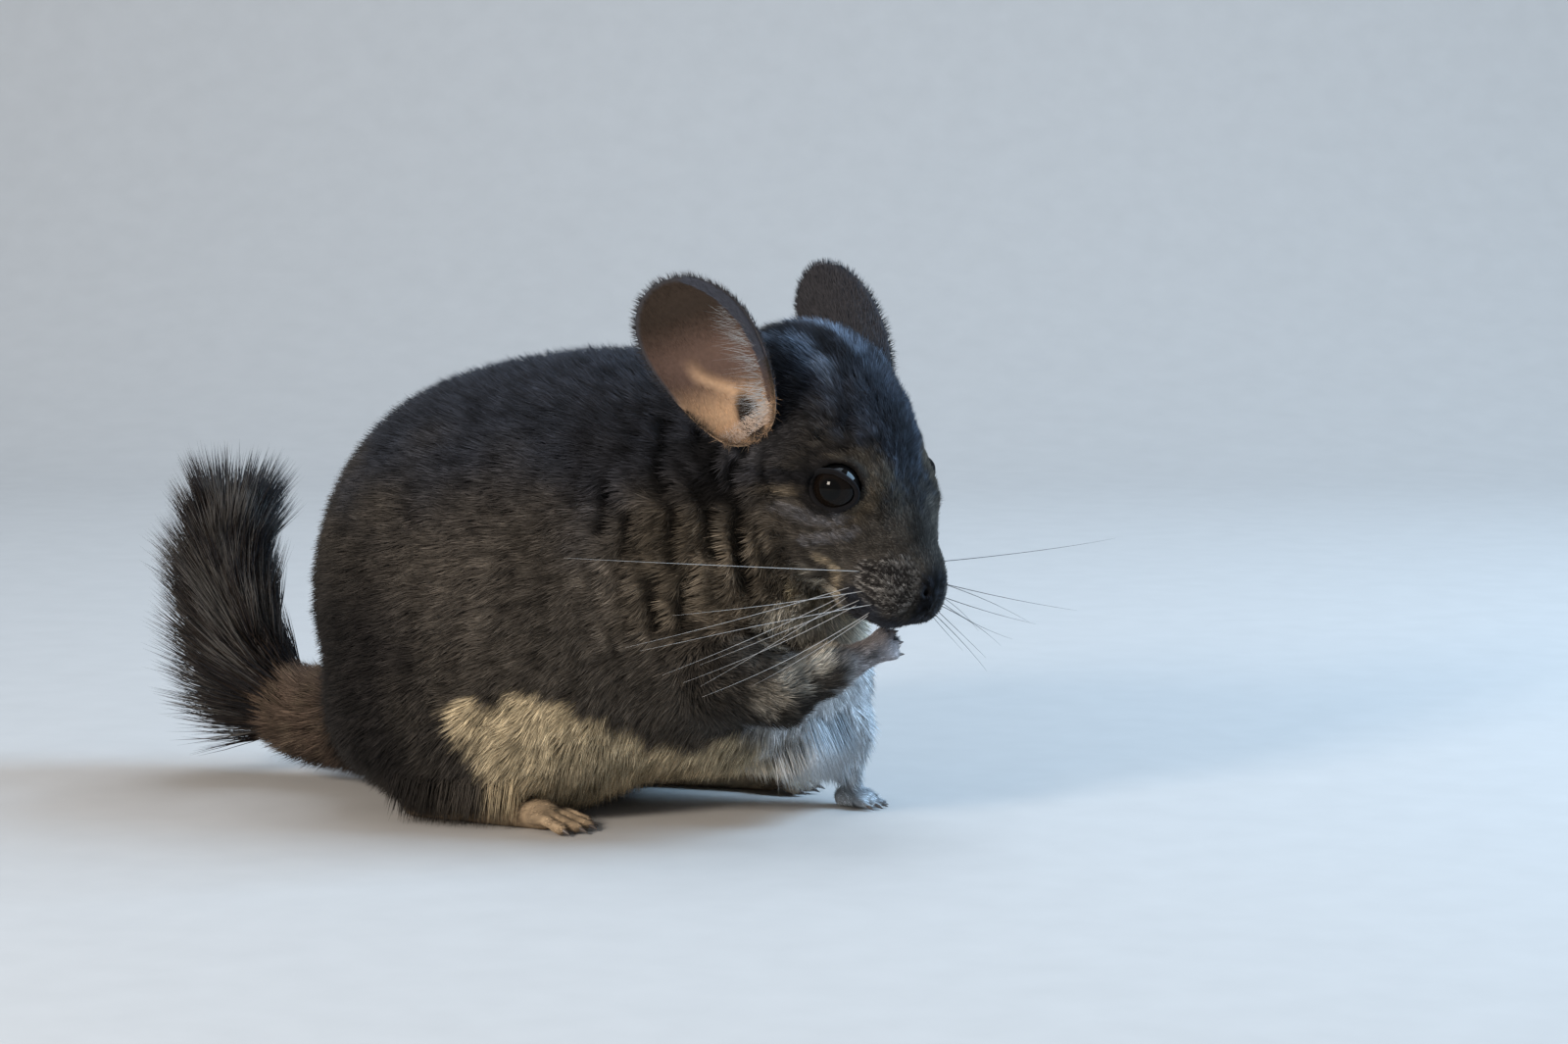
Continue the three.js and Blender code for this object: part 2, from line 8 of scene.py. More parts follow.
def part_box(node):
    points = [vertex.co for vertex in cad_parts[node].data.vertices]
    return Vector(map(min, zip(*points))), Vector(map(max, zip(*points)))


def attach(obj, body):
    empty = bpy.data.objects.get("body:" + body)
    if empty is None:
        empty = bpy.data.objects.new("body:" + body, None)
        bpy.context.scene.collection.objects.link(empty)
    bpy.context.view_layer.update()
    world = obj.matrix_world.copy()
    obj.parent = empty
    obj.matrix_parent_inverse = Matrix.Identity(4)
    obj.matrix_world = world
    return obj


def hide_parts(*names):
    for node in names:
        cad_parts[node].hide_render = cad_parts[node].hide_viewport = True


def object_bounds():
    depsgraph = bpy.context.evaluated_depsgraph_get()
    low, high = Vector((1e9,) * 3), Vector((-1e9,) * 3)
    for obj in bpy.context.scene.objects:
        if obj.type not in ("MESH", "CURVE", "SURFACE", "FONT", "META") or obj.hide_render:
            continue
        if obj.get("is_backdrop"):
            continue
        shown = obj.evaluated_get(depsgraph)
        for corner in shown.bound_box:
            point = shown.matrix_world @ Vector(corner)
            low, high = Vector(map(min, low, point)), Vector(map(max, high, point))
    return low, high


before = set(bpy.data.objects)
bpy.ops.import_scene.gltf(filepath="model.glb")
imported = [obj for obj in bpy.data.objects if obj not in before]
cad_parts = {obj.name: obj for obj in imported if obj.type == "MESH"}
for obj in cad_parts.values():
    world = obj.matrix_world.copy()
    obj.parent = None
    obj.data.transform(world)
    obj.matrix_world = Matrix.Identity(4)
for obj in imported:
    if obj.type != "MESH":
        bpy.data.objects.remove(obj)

# A chinchilla sitting on its haunches with its head turned and one forepaw raised to its mouth.
# Sizes are in millimetres in the animal's own axes: x forward, y to its left, z up from the floor.
MM = 0.001
cad_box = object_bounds()

# Body: masses whose blend is the coat's outer surface, given for the left half
RUMP = ((-25.5, 0, 62), (58.5, 56, 65.5))
BACK = ((8, 0, 71), (63, 51, 64))
CHEST = ((46, 1, 57), (39, 41, 44))
HAUNCH = ((-22, 24, 30), (48, 32, 31))
NECK = ((38, -1, 90), (64, -2, 109), 42, 33)

# Head: turned to the right and pitched down, measured in its own axes (forward, left, up)
HEAD_AT = np.array((76.0, -3.0, 111.0))
HEAD_YAW = math.radians(-17)
HEAD_PITCH = math.radians(46)
SKULL = ((-8, 0, -1), (28.5, 25, 26.5))
MUZZLE = ((13, 0, -2), (42, 0, -8.5), 22.5, 13.5)
CHEEK = ((13, 12, -11), (26, 16.5, 20))
LIP_PAD = ((44.5, 6.5, -13), (13.5, 10.5, 10))
NOSE = ((49.5, 0, -8.5), (8.5, 7, 9.5))
JAW = ((10, 0, -17), (39, 0, -20.5), 16, 8.5)
EAR_MOUND = ((-9, 25, -2), (10, 6.5, 9))
EYE_AT = np.array((20.2, 19.3, 3.0))
EYE_RADIUS = 6.8
EYE_LOOK = np.array((0.22, 0.95, 0.22))
NOSTRIL_AT = (54.9, 3.9, -3.4)
MOUTH_AT = (53.0, 0.0, -19.5)
MOUTH_BOW = 1.5

# Ears: base, tip, the way that the front edge faces, half width and bow forward, as if on the left
EARS = {1: ((-11, 25, -2), (-52, 30, 12), (-0.32, 0.25, 0.93), 14.5, 0.0),
        -1: ((-9.5, 32, 0), (-50, 45, 10), (-0.32, -0.16, 0.93), 18.5, 3.5)}
EAR_SUNK = 8
EAR_WALL = 1.1
EAR_CURL = 10
EAR_OPENING = 17

# Legs: the middle line of each and its thickness at the same points
RIGHT_ARM = (((38, -22, 60), (56, -33, 46), (72, -33, 41.5), (84, -27, 47.5), (91.5, -20, 51)),
             (11, 14.5, 10.0, 7.4, 5.2))
LEFT_ARM = (((48, 18, 56), (63, 24, 39), (71, 22, 23), (75, 19.5, 4)), (10, 15, 9, 4.2))
SOLE_AT = 3.8
HIND = {"width": 12, "height": 8.5, "toe": 14, "thick": 4.4, "spread": 3.4, "claw": 2.6}
FORE = {"width": 9, "height": 6, "toe": 7, "thick": 3.0, "spread": 2.3, "claw": 1.6}
FEET = {
    "hind_right": ((-38, -37, SOLE_AT), (4, -42, SOLE_AT), (0, 0, 1), HIND),
    "hind_left": ((4, 34, SOLE_AT), (44, 36, SOLE_AT), (0, 0, 1), HIND),
    "fore_right": ((89, -22, 49), (95.5, -15.5, 53), (0.55, -0.75, 0.1), FORE),
    "fore_left": ((72.5, 20, 2.65), (78, 19.4, 2.65), (0, 0, 1), FORE),
}

# Tail: its middle line with the thickness of its flesh, and the long hair of its brush
TAIL = (((-66, 0, 22), (-92, 4, 20), (-108, 5, 27), (-117, 6, 42), (-121, 6, 58), (-120, 6, 76)),
        (13, 10.5, 7, 5, 3.5, 1.8))
BRUSH = {"count": 13500, "first": 0.27, "length": 32.0, "width": 0.19}

# Long hair of the chest and over the heels: how far it leans out at its root and tip, and its ways there
CURTAIN = {"count": 2400, "width": 0.17, "longest": 19, "longer": 1.0, "out": (0.5, 0.0),
           "spread": (0.12, 0.1), "root_way": (0.25, 0, -0.9), "tip_way": (0.3, 0, -1), "flat": (0, 1, 0),
           "pale": 0.35}
CURTAIN_END = {"x": (51, 75), "z": (13.0, 4.0)}
SKIRT = {"count": 3600, "width": 0.2, "longest": 16, "longer": 1.1, "out": (0.55, 0.1),
         "spread": (0.1, 0.1), "root_way": (-0.15, 0, -0.8), "tip_way": (-0.1, 0, -1), "flat": (1, 0, 0),
         "pale": 0.0}

# Whiskers: the ways of the highest and the lowest of each side and their length, the right ones swept back
WHISKER = {"at": (46, 14, -12), "count": 10, "long": 92.0, "short": 52.0, "thick": 0.125,
           "droop": (-0.09, 0.0, -0.05)}
WHISKER_FAN = {1: ((0.1, 1, 0.08), (0.42, 1, -0.5), 1.08), -1: ((-0.42, 1, -0.28), (0.1, 1, -0.75), 1.0)}

# Folds of the neck: valleys along lines of (x, z) on the turned side, cut into the skin and deepened with
# painted shade in the coat
FOLD_LINES = (((46.5, 113), (51, 105), (55.5, 99.5), (57, 95)),
              ((58.5, 104), (59.8, 89), (60.8, 83), (61.5, 71)),
              ((50.5, 99), (52, 91), (54.5, 80)), ((43, 93), (44.2, 83.5), (44.8, 77)),
              ((36.5, 115), (38.5, 106.5), (40.5, 98)), ((31, 91), (32, 80)), ((24, 97), (24.7, 85)),
              ((39, 72), (40.3, 60)), ((46.8, 72), (47.4, 59)))

# How far the coat stands above the skin, and its tufts on body, head, right and left arm, tail and feet:
# millimetres, degrees and tufts to the square millimetre
BODY_DEPTH = 4.4
ARM_DEPTH = 3.4
TUFT_RISE = (45, 30, 30, 32, 32, 18)
TUFT_WIDTH = (0.25, 0.19, 0.23, 0.24, 0.26, 0.12)
TUFT_LENGTH = (6.0, 4.6, 4.2, 6.0, 7.5, 1.8)
TUFT_DENSITY = (3.7, 5.0, 4.2, 4.2, 3.2, 5.0)
COAT_PIECE = 48000

# Pitch of the skin's grids, and how far forward in the head's axes the fine one begins
BODY_PITCH = 1.5
FACE_PITCH = 0.7
FACE_FROM = 4.0
FACE_PROUD = 0.15
EAR_RINGS = (64, 26)

# Camera, lights and the floor, which curves up into a pale backdrop a long way behind
CAMERA_TURN, CAMERA_RISE = math.radians(20), math.radians(6.5)
CAMERA_AWAY, CAMERA_AIM, LENS = 1079, (57.1, 82.7), 85.0
LIGHTS = {"key": ((-0.5, -1.33, 0.68), 0.35, 19, (1.0, 0.9, 0.79)),
          "cool": ((1.0, 0.45, 0.9), 0.7, 24, (0.46, 0.72, 1.0)),
          "top": ((-0.1, 0.5, 1.5), 1.0, 12, (0.72, 0.85, 1.0))}
ROOM_LIGHT = ((0.92, 0.92, 0.93, 1), 0.36)
SWEEP = {"front": -2500, "bend": 900, "radius": 600, "top": 2600, "half": 4000}


def rows(*values):
    return np.array(values, dtype=float)


HEAD_FORWARD = rows(math.cos(HEAD_PITCH) * math.cos(HEAD_YAW),
                    math.cos(HEAD_PITCH) * math.sin(HEAD_YAW), -math.sin(HEAD_PITCH))
HEAD_LEFT = rows(-math.sin(HEAD_YAW), math.cos(HEAD_YAW), 0.0)
HEAD_UP = np.cross(HEAD_FORWARD, HEAD_LEFT)
HEAD_AXES = np.stack((HEAD_FORWARD, HEAD_LEFT, HEAD_UP))


def to_head(points):
    return (points - HEAD_AT) @ HEAD_AXES.T


def from_head(points):
    return np.asarray(points, float) @ HEAD_AXES + HEAD_AT


def sided(point, side):
    return np.asarray(point, float) * rows(1, side, 1)


# Shift from the animal's axes to the solids' frame, found from the right eye's box
low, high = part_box("eye_right")
SHIFT = (np.array(low) + np.array(high)) / 2 / MM - from_head(sided(EYE_AT, -1))
SHIFT[2] = 0.0


def unit(vectors):
    return vectors / (np.linalg.norm(vectors, axis=-1, keepdims=True) + 1e-12)


def step(low_edge, high_edge, values):
    share = np.clip((values - low_edge) / (high_edge - low_edge), 0, 1)
    return share * share * (3 - 2 * share)


def bump(centre, width, values):
    return step(width, 0, np.abs(values - centre))


def blend(a, b, width):
    share = np.maximum(width - np.abs(a - b), 0) / width
    return np.minimum(a, b) - share * share * width * 0.25


def carve(a, b, width):
    return -blend(-a, b, width) if width else np.maximum(a, -b)


def ellipsoid(points, mass):
    centre, size = np.array(mass[0], float), np.array(mass[1], float)
    scaled = (points - centre) / size
    near = np.linalg.norm(scaled, axis=-1)
    return near * (near - 1) / (np.linalg.norm(scaled / size, axis=-1) + 1e-9)


def round_cone(points, cone):
    start, end = np.array(cone[0], float), np.array(cone[1], float)
    thick, thin = cone[2:]
    axis = end - start
    share = np.clip((points - start) @ axis / (axis @ axis), 0, 1)
    gap = np.linalg.norm(points - start - share[..., None] * axis, axis=-1)
    return gap - (thick + (thin - thick) * share)


def mirrored_half(points):
    return np.stack((points[..., 0], np.abs(points[..., 1]), points[..., 2]), -1)


# A smooth wavy value between about -1 and 1, the same on every run
def swell(points, wavelength, seed, waves=6):
    chance = np.random.default_rng(seed)
    ways = unit(chance.normal(size=(waves, 3)))
    stretch = chance.uniform(0.7, 1.4, waves)
    start = chance.uniform(0, 2 * math.pi, waves)
    total = np.zeros(points.shape[:-1])
    for way, rate, begin in zip(ways, stretch, start):
        total += np.sin(points @ way * (2 * math.pi * rate / wavelength) + begin)
    return total / math.sqrt(waves)


# Nearest place on a broken line: the gap to it, its way there and the share of it passed
def chain(points, line):
    line = np.asarray(line, float)
    best = np.full(len(points), 1e9)
    way, along = np.zeros(points.shape), np.zeros(len(points))
    for k in range(len(line) - 1):
        axis = line[k + 1] - line[k]
        share = np.clip((points - line[k]) @ axis / (axis @ axis), 0, 1)
        gap = np.linalg.norm(points - line[k] - share[:, None] * axis, axis=1)
        near = gap < best
        best[near], way[near], along[near] = gap[near], unit(axis), (k + share[near]) / (len(line) - 1)
    return best, way, along


# Folds of loose coat on the turned side of the neck: broken ripples, and the valleys; they shape the skin and
# also give the coat's painted shade in the valleys and painted highlight on the ridges
def folds(points):
    x, y, z = points[..., 0], points[..., 1], points[..., 2]
    where = step(4, 30, x) * step(77, 62, x) * step(42, 66, z) * step(130, 106, z) * step(-8, -24, y)
    broken = where * (0.7 + 0.45 * swell(points, 24, 91, 4))
    wave = x + 0.22 * (z - 80) + 2.6 * np.sin(z / 12) + 1.1 * np.sin(z / 5.1 + 1)
    wave = wave + 3 * swell(points, 42, 92, 4)
    ridge = 1.7 * np.abs(np.cos(wave * (math.pi / 8.2))) ** 0.8 - 1
    fine = 1.7 * np.abs(np.cos((wave + 0.35 * z) * (math.pi / 5.3))) ** 0.8 - 1
    flat = np.stack((x + 0.8 * np.sin(z / 3.1), z), -1).reshape(-1, 2)
    gap = np.min([chain(flat, line)[0] for line in FOLD_LINES], axis=0).reshape(x.shape)
    return broken * (0.55 * ridge + 0.3 * fine) - 1.25 * step(3.2, 0.3, gap) * step(-10, -22, y)


# Creases of the face: over the brow, on the forehead and under the eye
def creases(local):
    u, v, w = local[..., 0], np.abs(local[..., 1]), local[..., 2]
    brow = bump(0, 2.2, np.hypot(u - 18, w - 1) - 15.5) * step(8, 12, w) * step(9, 15, v)
    under = bump(0, 1.8, np.hypot(u - 19, w - 2) - 13.5) * step(-2, -6, w) * step(12, 16, v)
    forehead = bump(0, 1.8, v - 10 - 0.37 * (u + 3.2)) * step(-7, -3, u) * step(14, 9, u) * step(8, 12, w)
    pad = step(10, 2, np.linalg.norm(np.stack((u - 28, v - 12.5, w - 8), -1), axis=-1))
    return 1.4 * pad - 0.9 * brow - 0.8 * under - 0.7 * forehead


def head_field(points):
    local = to_head(points)
    half = mirrored_half(local)
    field = blend(ellipsoid(half, SKULL), round_cone(half, MUZZLE), 12)
    field = blend(field, ellipsoid(half, CHEEK), 10)
    field = blend(field, ellipsoid(half, LIP_PAD), 6)
    field = blend(field, ellipsoid(half, NOSE), 6)
    field = blend(field, ellipsoid(half, EAR_MOUND), 5)
    return blend(field, round_cone(half, JAW), 8)


def body_field(points):
    half = mirrored_half(points)
    field = blend(ellipsoid(half, RUMP), ellipsoid(half, BACK), 14)
    field = blend(field, ellipsoid(half, CHEST), 16)
    field = blend(field, ellipsoid(half, HAUNCH), 14)
    return blend(field, round_cone(points, NECK), 14)


def curve(line, count):
    line = np.asarray(line, float)
    spots = np.linspace(0, len(line) - 1, count)
    padded = np.concatenate((2 * line[:1] - line[1:2], line, 2 * line[-1:] - line[-2:-1]))
    first = np.minimum(spots.astype(int), len(line) - 2)
    t = (spots - first)[:, None]
    a, b, c, d = (padded[first + k] for k in range(4))
    return 0.5 * (2 * b + (c - a) * t + (2 * a - 5 * b + 4 * c - d) * t ** 2
                  + (3 * b - a - 3 * c + d) * t ** 3)


def line_cones(line, radii, less=0.0):
    return [(a, b, max(ra - less, 1.0), max(rb - less, 1.0))
            for a, b, ra, rb in zip(line[:-1], line[1:], radii[:-1], radii[1:])]


TAIL_STEPS = 24
TAIL_LINE = curve(TAIL[0], TAIL_STEPS)
TAIL_SKIN = np.interp(np.linspace(0, len(TAIL[1]) - 1, TAIL_STEPS), range(len(TAIL[1])), TAIL[1])


# The cones of a paw: a sole, then toes that fan out from the knuckles, with the claws' places
def paw_cones(heel, knuckles, up, size):
    heel, knuckles, up = rows(*heel), rows(*knuckles), unit(rows(*up))
    way = unit(knuckles - heel)
    across = unit(np.cross(up, way))
    up = np.cross(way, across)
    cones, claws = [], []
    for side in (-1, 1):
        shift = across * side * (size["width"] - size["height"]) * 0.3
        cones.append((heel + shift, knuckles + shift * 1.25, size["height"] * 0.42, size["height"] * 0.42))
    for toe in range(4):
        place = toe - 1.5
        turn = unit(way + across * place * 0.13)
        root = knuckles + across * place * size["spread"] - way * 1.5
        drop = size["thick"] * 0.42 - size["height"] * 0.46
        tip = root + turn * size["toe"] * (1 - 0.09 * place * place) + up * drop
        knee = (root + tip) / 2 + up * size["thick"] * 0.25
        thick = size["thick"] * 0.44
        cones += [(root, knee, thick, thick * 0.85), (knee, tip, thick * 0.85, thick * 0.95)]
        claws.append((tip + turn * thick * 0.5, unit(turn - up * 0.25), size["claw"], thick * 0.4))
    return cones, claws


# How far the coat stands above the skin of the head
def head_depth(points):
    return 2.5 - 1.4 * step(14, 40, to_head(points)[..., 0])


# Distance to the skin of each part
def part_fields(points):
    arms = [np.min([round_cone(points, cone) for cone in line_cones(line, radii, ARM_DEPTH)], axis=0)
            for line, radii in (RIGHT_ARM, LEFT_ARM)]
    feet = [round_cone(points, cone) for foot in FEET.values() for cone in paw_cones(*foot)[0]]
    tail = np.min([round_cone(points, cone) for cone in line_cones(TAIL_LINE, TAIL_SKIN)[4:]], axis=0)
    return np.stack((body_field(points) + BODY_DEPTH, head_field(points) + head_depth(points), *arms, tail,
                     np.min(feet, axis=0)), -1)


# How much each part has to say about a point: nearly all from its own part, shared at the joins
def part_shares(points, softness=2.2):
    fields = part_fields(points)
    shares = np.exp(-(fields - fields.min(-1, keepdims=True)) / softness)
    return shares / shares.sum(-1, keepdims=True)


def trunk_skin(points):
    body, head = body_field(points), head_field(points)
    share = step(-6, 6, body - head)
    depth = BODY_DEPTH * (1 - share) + head_depth(points) * share
    return blend(body, head, 7) + depth - 1.4 * folds(points) - creases(to_head(points)) * share


def eye_centre(side):
    return from_head(sided(EYE_AT - rows(0, 3.6, 0) * (side > 0), side))


# Field grids: the distance to the skin at every point of a box
class Grid:
    def __init__(self, low_corner, high_corner, pitch):
        self.low = rows(*low_corner)
        self.pitch = pitch
        self.counts = [int((b - a) / pitch) + 1 for a, b in zip(low_corner, high_corner)]
        self.values = np.full(self.counts, 50.0, dtype=np.float32)

    def points(self, slices):
        axes = [self.low[k] + self.pitch * np.arange(self.counts[k])[slices[k]] for k in range(3)]
        return np.stack(np.meshgrid(*axes, indexing="ij"), -1)

    def whole(self):
        return tuple(slice(0, count) for count in self.counts)

    # The part of the grid within a margin of a box
    def around(self, low_corner, high_corner, margin):
        slices = []
        for k in range(3):
            first = int((low_corner[k] - margin - self.low[k]) / self.pitch)
            last = int((high_corner[k] + margin - self.low[k]) / self.pitch) + 2
            slices.append(slice(min(max(first, 0), self.counts[k]), min(max(last, 0), self.counts[k])))
        return tuple(slices)

    def merge(self, field, slices, width):
        for first in range(slices[0].start, slices[0].stop, 24):
            part = (slice(first, min(first + 24, slices[0].stop)), slices[1], slices[2])
            new = field(self.points(part)).astype(np.float32)
            old = self.values[part]
            self.values[part] = blend(old, new, width) if width else np.minimum(old, new)

    def add_cones(self, cones, width):
        for cone in cones:
            start, end = np.array(cone[0], float), np.array(cone[1], float)
            reach = max(cone[2], cone[3])
            slices = self.around(np.minimum(start, end) - reach, np.maximum(start, end) + reach, width + 2)
            self.merge(lambda points, cone=cone: round_cone(points, cone), slices, width)

    def cut(self, field, low_corner, high_corner, width):
        slices = self.around(low_corner, high_corner, 2)
        tool = field(self.points(slices)).astype(np.float32)
        self.values[slices] = carve(self.values[slices], tool, width)


# A closed surface through a grid's zero level: one point in each cell that it crosses
def surface_of(grid):
    values = grid.values
    inside = values < 0
    corners = [tuple(corner) for corner in np.ndindex(2, 2, 2)]
    cut = (slice(0, -1), slice(1, None))
    stacked = np.stack([inside[cut[a], cut[b], cut[c]] for a, b, c in corners])
    crossed = stacked.any(0) & ~stacked.all(0)
    cells = np.argwhere(crossed)
    number = np.full(crossed.shape, -1, dtype=np.int64)
    number[crossed] = np.arange(len(cells))
    level = np.stack([values[tuple((cells + corner).T)] for corner in corners], 1).astype(float)
    total, count = np.zeros((len(cells), 3)), np.zeros(len(cells))
    for i, a in enumerate(corners):
        for j, b in enumerate(corners):
            if j < i or sum(abs(p - q) for p, q in zip(a, b)) != 1:
                continue
            crosses = (level[:, i] < 0) != (level[:, j] < 0)
            share = np.where(crosses, level[:, i] / (level[:, i] - level[:, j] + 1e-12), 0)
            place = np.array(a, float) + share[:, None] * (np.array(b, float) - np.array(a, float))
            total += place * crosses[:, None]
            count += crosses
    points = grid.low + grid.pitch * (cells + total / count[:, None])
    faces = []
    for axis in range(3):
        side, other = [k for k in range(3) if k != axis]
        starts_at, ends_at = [slice(1, -1)] * 3, [slice(1, -1)] * 3
        starts_at[axis], ends_at[axis] = cut
        starts, ends = inside[tuple(starts_at)], inside[tuple(ends_at)]
        edges = np.argwhere(starts != ends)
        outward = starts[tuple(edges.T)]
        base = edges + 1
        base[:, axis] -= 1
        ring = []
        for u, v in ((0, 0), (1, 0), (1, 1), (0, 1)):
            cell = base.copy()
            cell[:, side] -= u
            cell[:, other] -= v
            ring.append(number[tuple(cell.T)])
        quads = np.stack(ring, 1)
        flip = outward if axis == 1 else ~outward
        quads[flip] = quads[flip][:, ::-1]
        faces.append(quads)
    return points, np.concatenate(faces)


def add_limbs(grid):
    grid.add_cones(line_cones(TAIL_LINE, TAIL_SKIN), 4)
    grid.add_cones(line_cones(*RIGHT_ARM, less=ARM_DEPTH), 9)
    grid.add_cones(line_cones(*LEFT_ARM, less=ARM_DEPTH), 8)
    for foot in FEET.values():
        cones, _ = paw_cones(*foot)
        grid.add_cones(cones[:2], 3)
        grid.add_cones(cones[2:], 0.8)


# The line of the mouth and the split of the upper lip
def mouth_cut(points):
    local = to_head(points)
    u, v, w = local[..., 0], local[..., 1], local[..., 2]
    bow = MOUTH_AT[2] - MOUTH_BOW * (1 - (v / 14) ** 2)
    slot = np.maximum(np.abs(w - bow) - 0.45, 34 - u)
    split = np.maximum(np.abs(v) - 0.4, np.maximum(54.5 - u, w + 9.5))
    return np.minimum(slot, split)


def make_body_surface():
    grid = Grid((-134, -62, -3), (122, 62, 146), BODY_PITCH)
    grid.merge(trunk_skin, grid.whole(), 0)
    face = from_head((33, 0, -4))
    grid.cut(lambda points: np.maximum(head_field(points) + head_depth(points) - 0.6,
                                       FACE_FROM + 3 - to_head(points)[..., 0]), face - 46, face + 46, 0)
    add_limbs(grid)
    grid.cut(lambda points: points[..., 2], grid.low, (122, 62, 3), 0)
    return surface_of(grid)


# The lids' opening: a hollow over the eye that is drawn out towards its two corners
def eye_axes(side):
    look = unit(sided(EYE_LOOK, side)) @ HEAD_AXES
    ahead = unit(HEAD_FORWARD + 0.58 * HEAD_UP)
    ahead = unit(ahead - look * (ahead @ look))
    return look, ahead, np.cross(look, ahead) * -side


def lid_opening(points, side):
    look, ahead, upper = eye_axes(side)
    local = points - eye_centre(side) - look * 6 + upper * 0.8
    turned = np.stack((local @ ahead, local @ upper, local @ look), -1)
    return ellipsoid(turned, ((0, 0, 0), (7.8, 5.2, 7.3)))


# The face: a finer shell a hair's breadth proud of the rest, with eye sockets, nostrils and mouth
def make_face_surface():
    middle = from_head((33, 0, -4))
    grid = Grid(middle - 44, middle + 44, FACE_PITCH)
    grid.merge(lambda points: trunk_skin(points) - FACE_PROUD, grid.whole(), 0)
    for side in (1, -1):
        centre = eye_centre(side)
        grid.merge(lambda points: np.linalg.norm(points - centre, axis=-1) - 8.0,
                   grid.around(centre - 9, centre + 9, 1), 2.5)
        grid.cut(lambda points: np.linalg.norm(points - centre, axis=-1) - EYE_RADIUS - 0.1,
                 centre - 9, centre + 9, 0.3)
        grid.cut(lambda points: lid_opening(points, side), centre - 16, centre + 16, 0.4)
        nostril = from_head(sided(NOSTRIL_AT, side))
        lean = math.radians(34) * side
        way = rows(0.1, math.sin(lean), math.cos(lean)) @ HEAD_AXES
        slit = (nostril - way * 1.5, nostril + way * 1.3, 0.75, 0.95)
        grid.cut(lambda points: round_cone(points, slit), nostril - 4, nostril + 4, 0.8)
    mouth = from_head((46, 0, -14))
    grid.cut(mouth_cut, mouth - 20, mouth + 20, 0.7)
    grid.cut(lambda points: np.minimum(to_head(points)[..., 0] - FACE_FROM,
                                       1.4 - head_field(points) - head_depth(points)),
             grid.low, middle + 44, 0)
    return surface_of(grid)


# Faces of a closed shell of rings, whose last two points close its ends
def ring_faces(rings, sides):
    here = np.arange(sides)
    after, pole = (here + 1) % sides, np.full(sides, rings * sides)
    start, last = np.arange(rings - 1)[:, None] * sides, (rings - 1) * sides
    walls = np.stack((start + here, start + after, start + sides + after, start + sides + here), -1)
    first_end = np.stack((after, here, pole, pole), 1)
    last_end = np.stack((last + here, last + after, pole + 1, pole + 1), 1)
    return np.concatenate((walls.reshape(-1, 4), first_end, last_end))


# A limb of rings along points, closed at both ends
def tube(points, radii, sides):
    ways = unit(np.gradient(points, axis=0))
    across = unit(np.cross(np.broadcast_to(rows(0, 0, 1), ways.shape), ways))
    out = np.cross(ways, across)
    turn = np.arange(sides) * 2 * math.pi / sides
    ring = across[:, None] * np.cos(turn)[None, :, None] + out[:, None] * np.sin(turn)[None, :, None]
    shell = points[:, None] + ring * np.asarray(radii, float)[:, None, None]
    return np.concatenate((shell.reshape(-1, 3), points[:1], points[-1:])), ring_faces(len(points), sides)


def join(parts):
    verts, faces, start = [], [], 0
    for part_verts, part_faces in parts:
        verts.append(part_verts)
        faces.append(part_faces + start)
        start += len(part_verts)
    return np.concatenate(verts), np.concatenate(faces)


# Turns all of a closed shell's faces if they point in
def outward_faces(verts, faces):
    a, b, c, d = (verts[faces[:, k]] for k in range(4))
    volume = np.einsum("ij,ij->i", a, np.cross(b, c)).sum() + np.einsum("ij,ij->i", a, np.cross(c, d)).sum()
    return faces if volume > 0 else faces[:, ::-1]


def ear_axes(side):
    base, tip, facing = (rows(*value) for value in EARS[side][:3])
    axis = unit(tip - base)
    across = unit(facing - axis * (facing @ axis))
    outward = np.cross(across, axis)
    return base, axis, across, outward if outward[1] > 0 else -outward, np.linalg.norm(tip - base)


# A point of an ear: u from base to tip, s from its rear edge to its front edge, and a distance
# from the middle of its wall towards its hollow side
def ear_place(side, u, s, wall):
    base, axis, across, outward, length = ear_axes(side)
    half_width, bow = EARS[side][3:]
    arc = s * half_width * (0.92 + 0.2 * u - 0.13 * u * u)
    bend = EAR_CURL + EAR_OPENING * u
    along = u * (length + EAR_SUNK) - EAR_SUNK
    bow = bow * np.sin(np.clip(u, 0, 1) * math.pi)
    place = (base + axis * along[..., None] + across * ((bend - wall) * np.sin(arc / bend) + bow)[..., None]
             + outward * (bend - (bend - wall) * np.cos(arc / bend))[..., None])
    return from_head(sided(place, side))


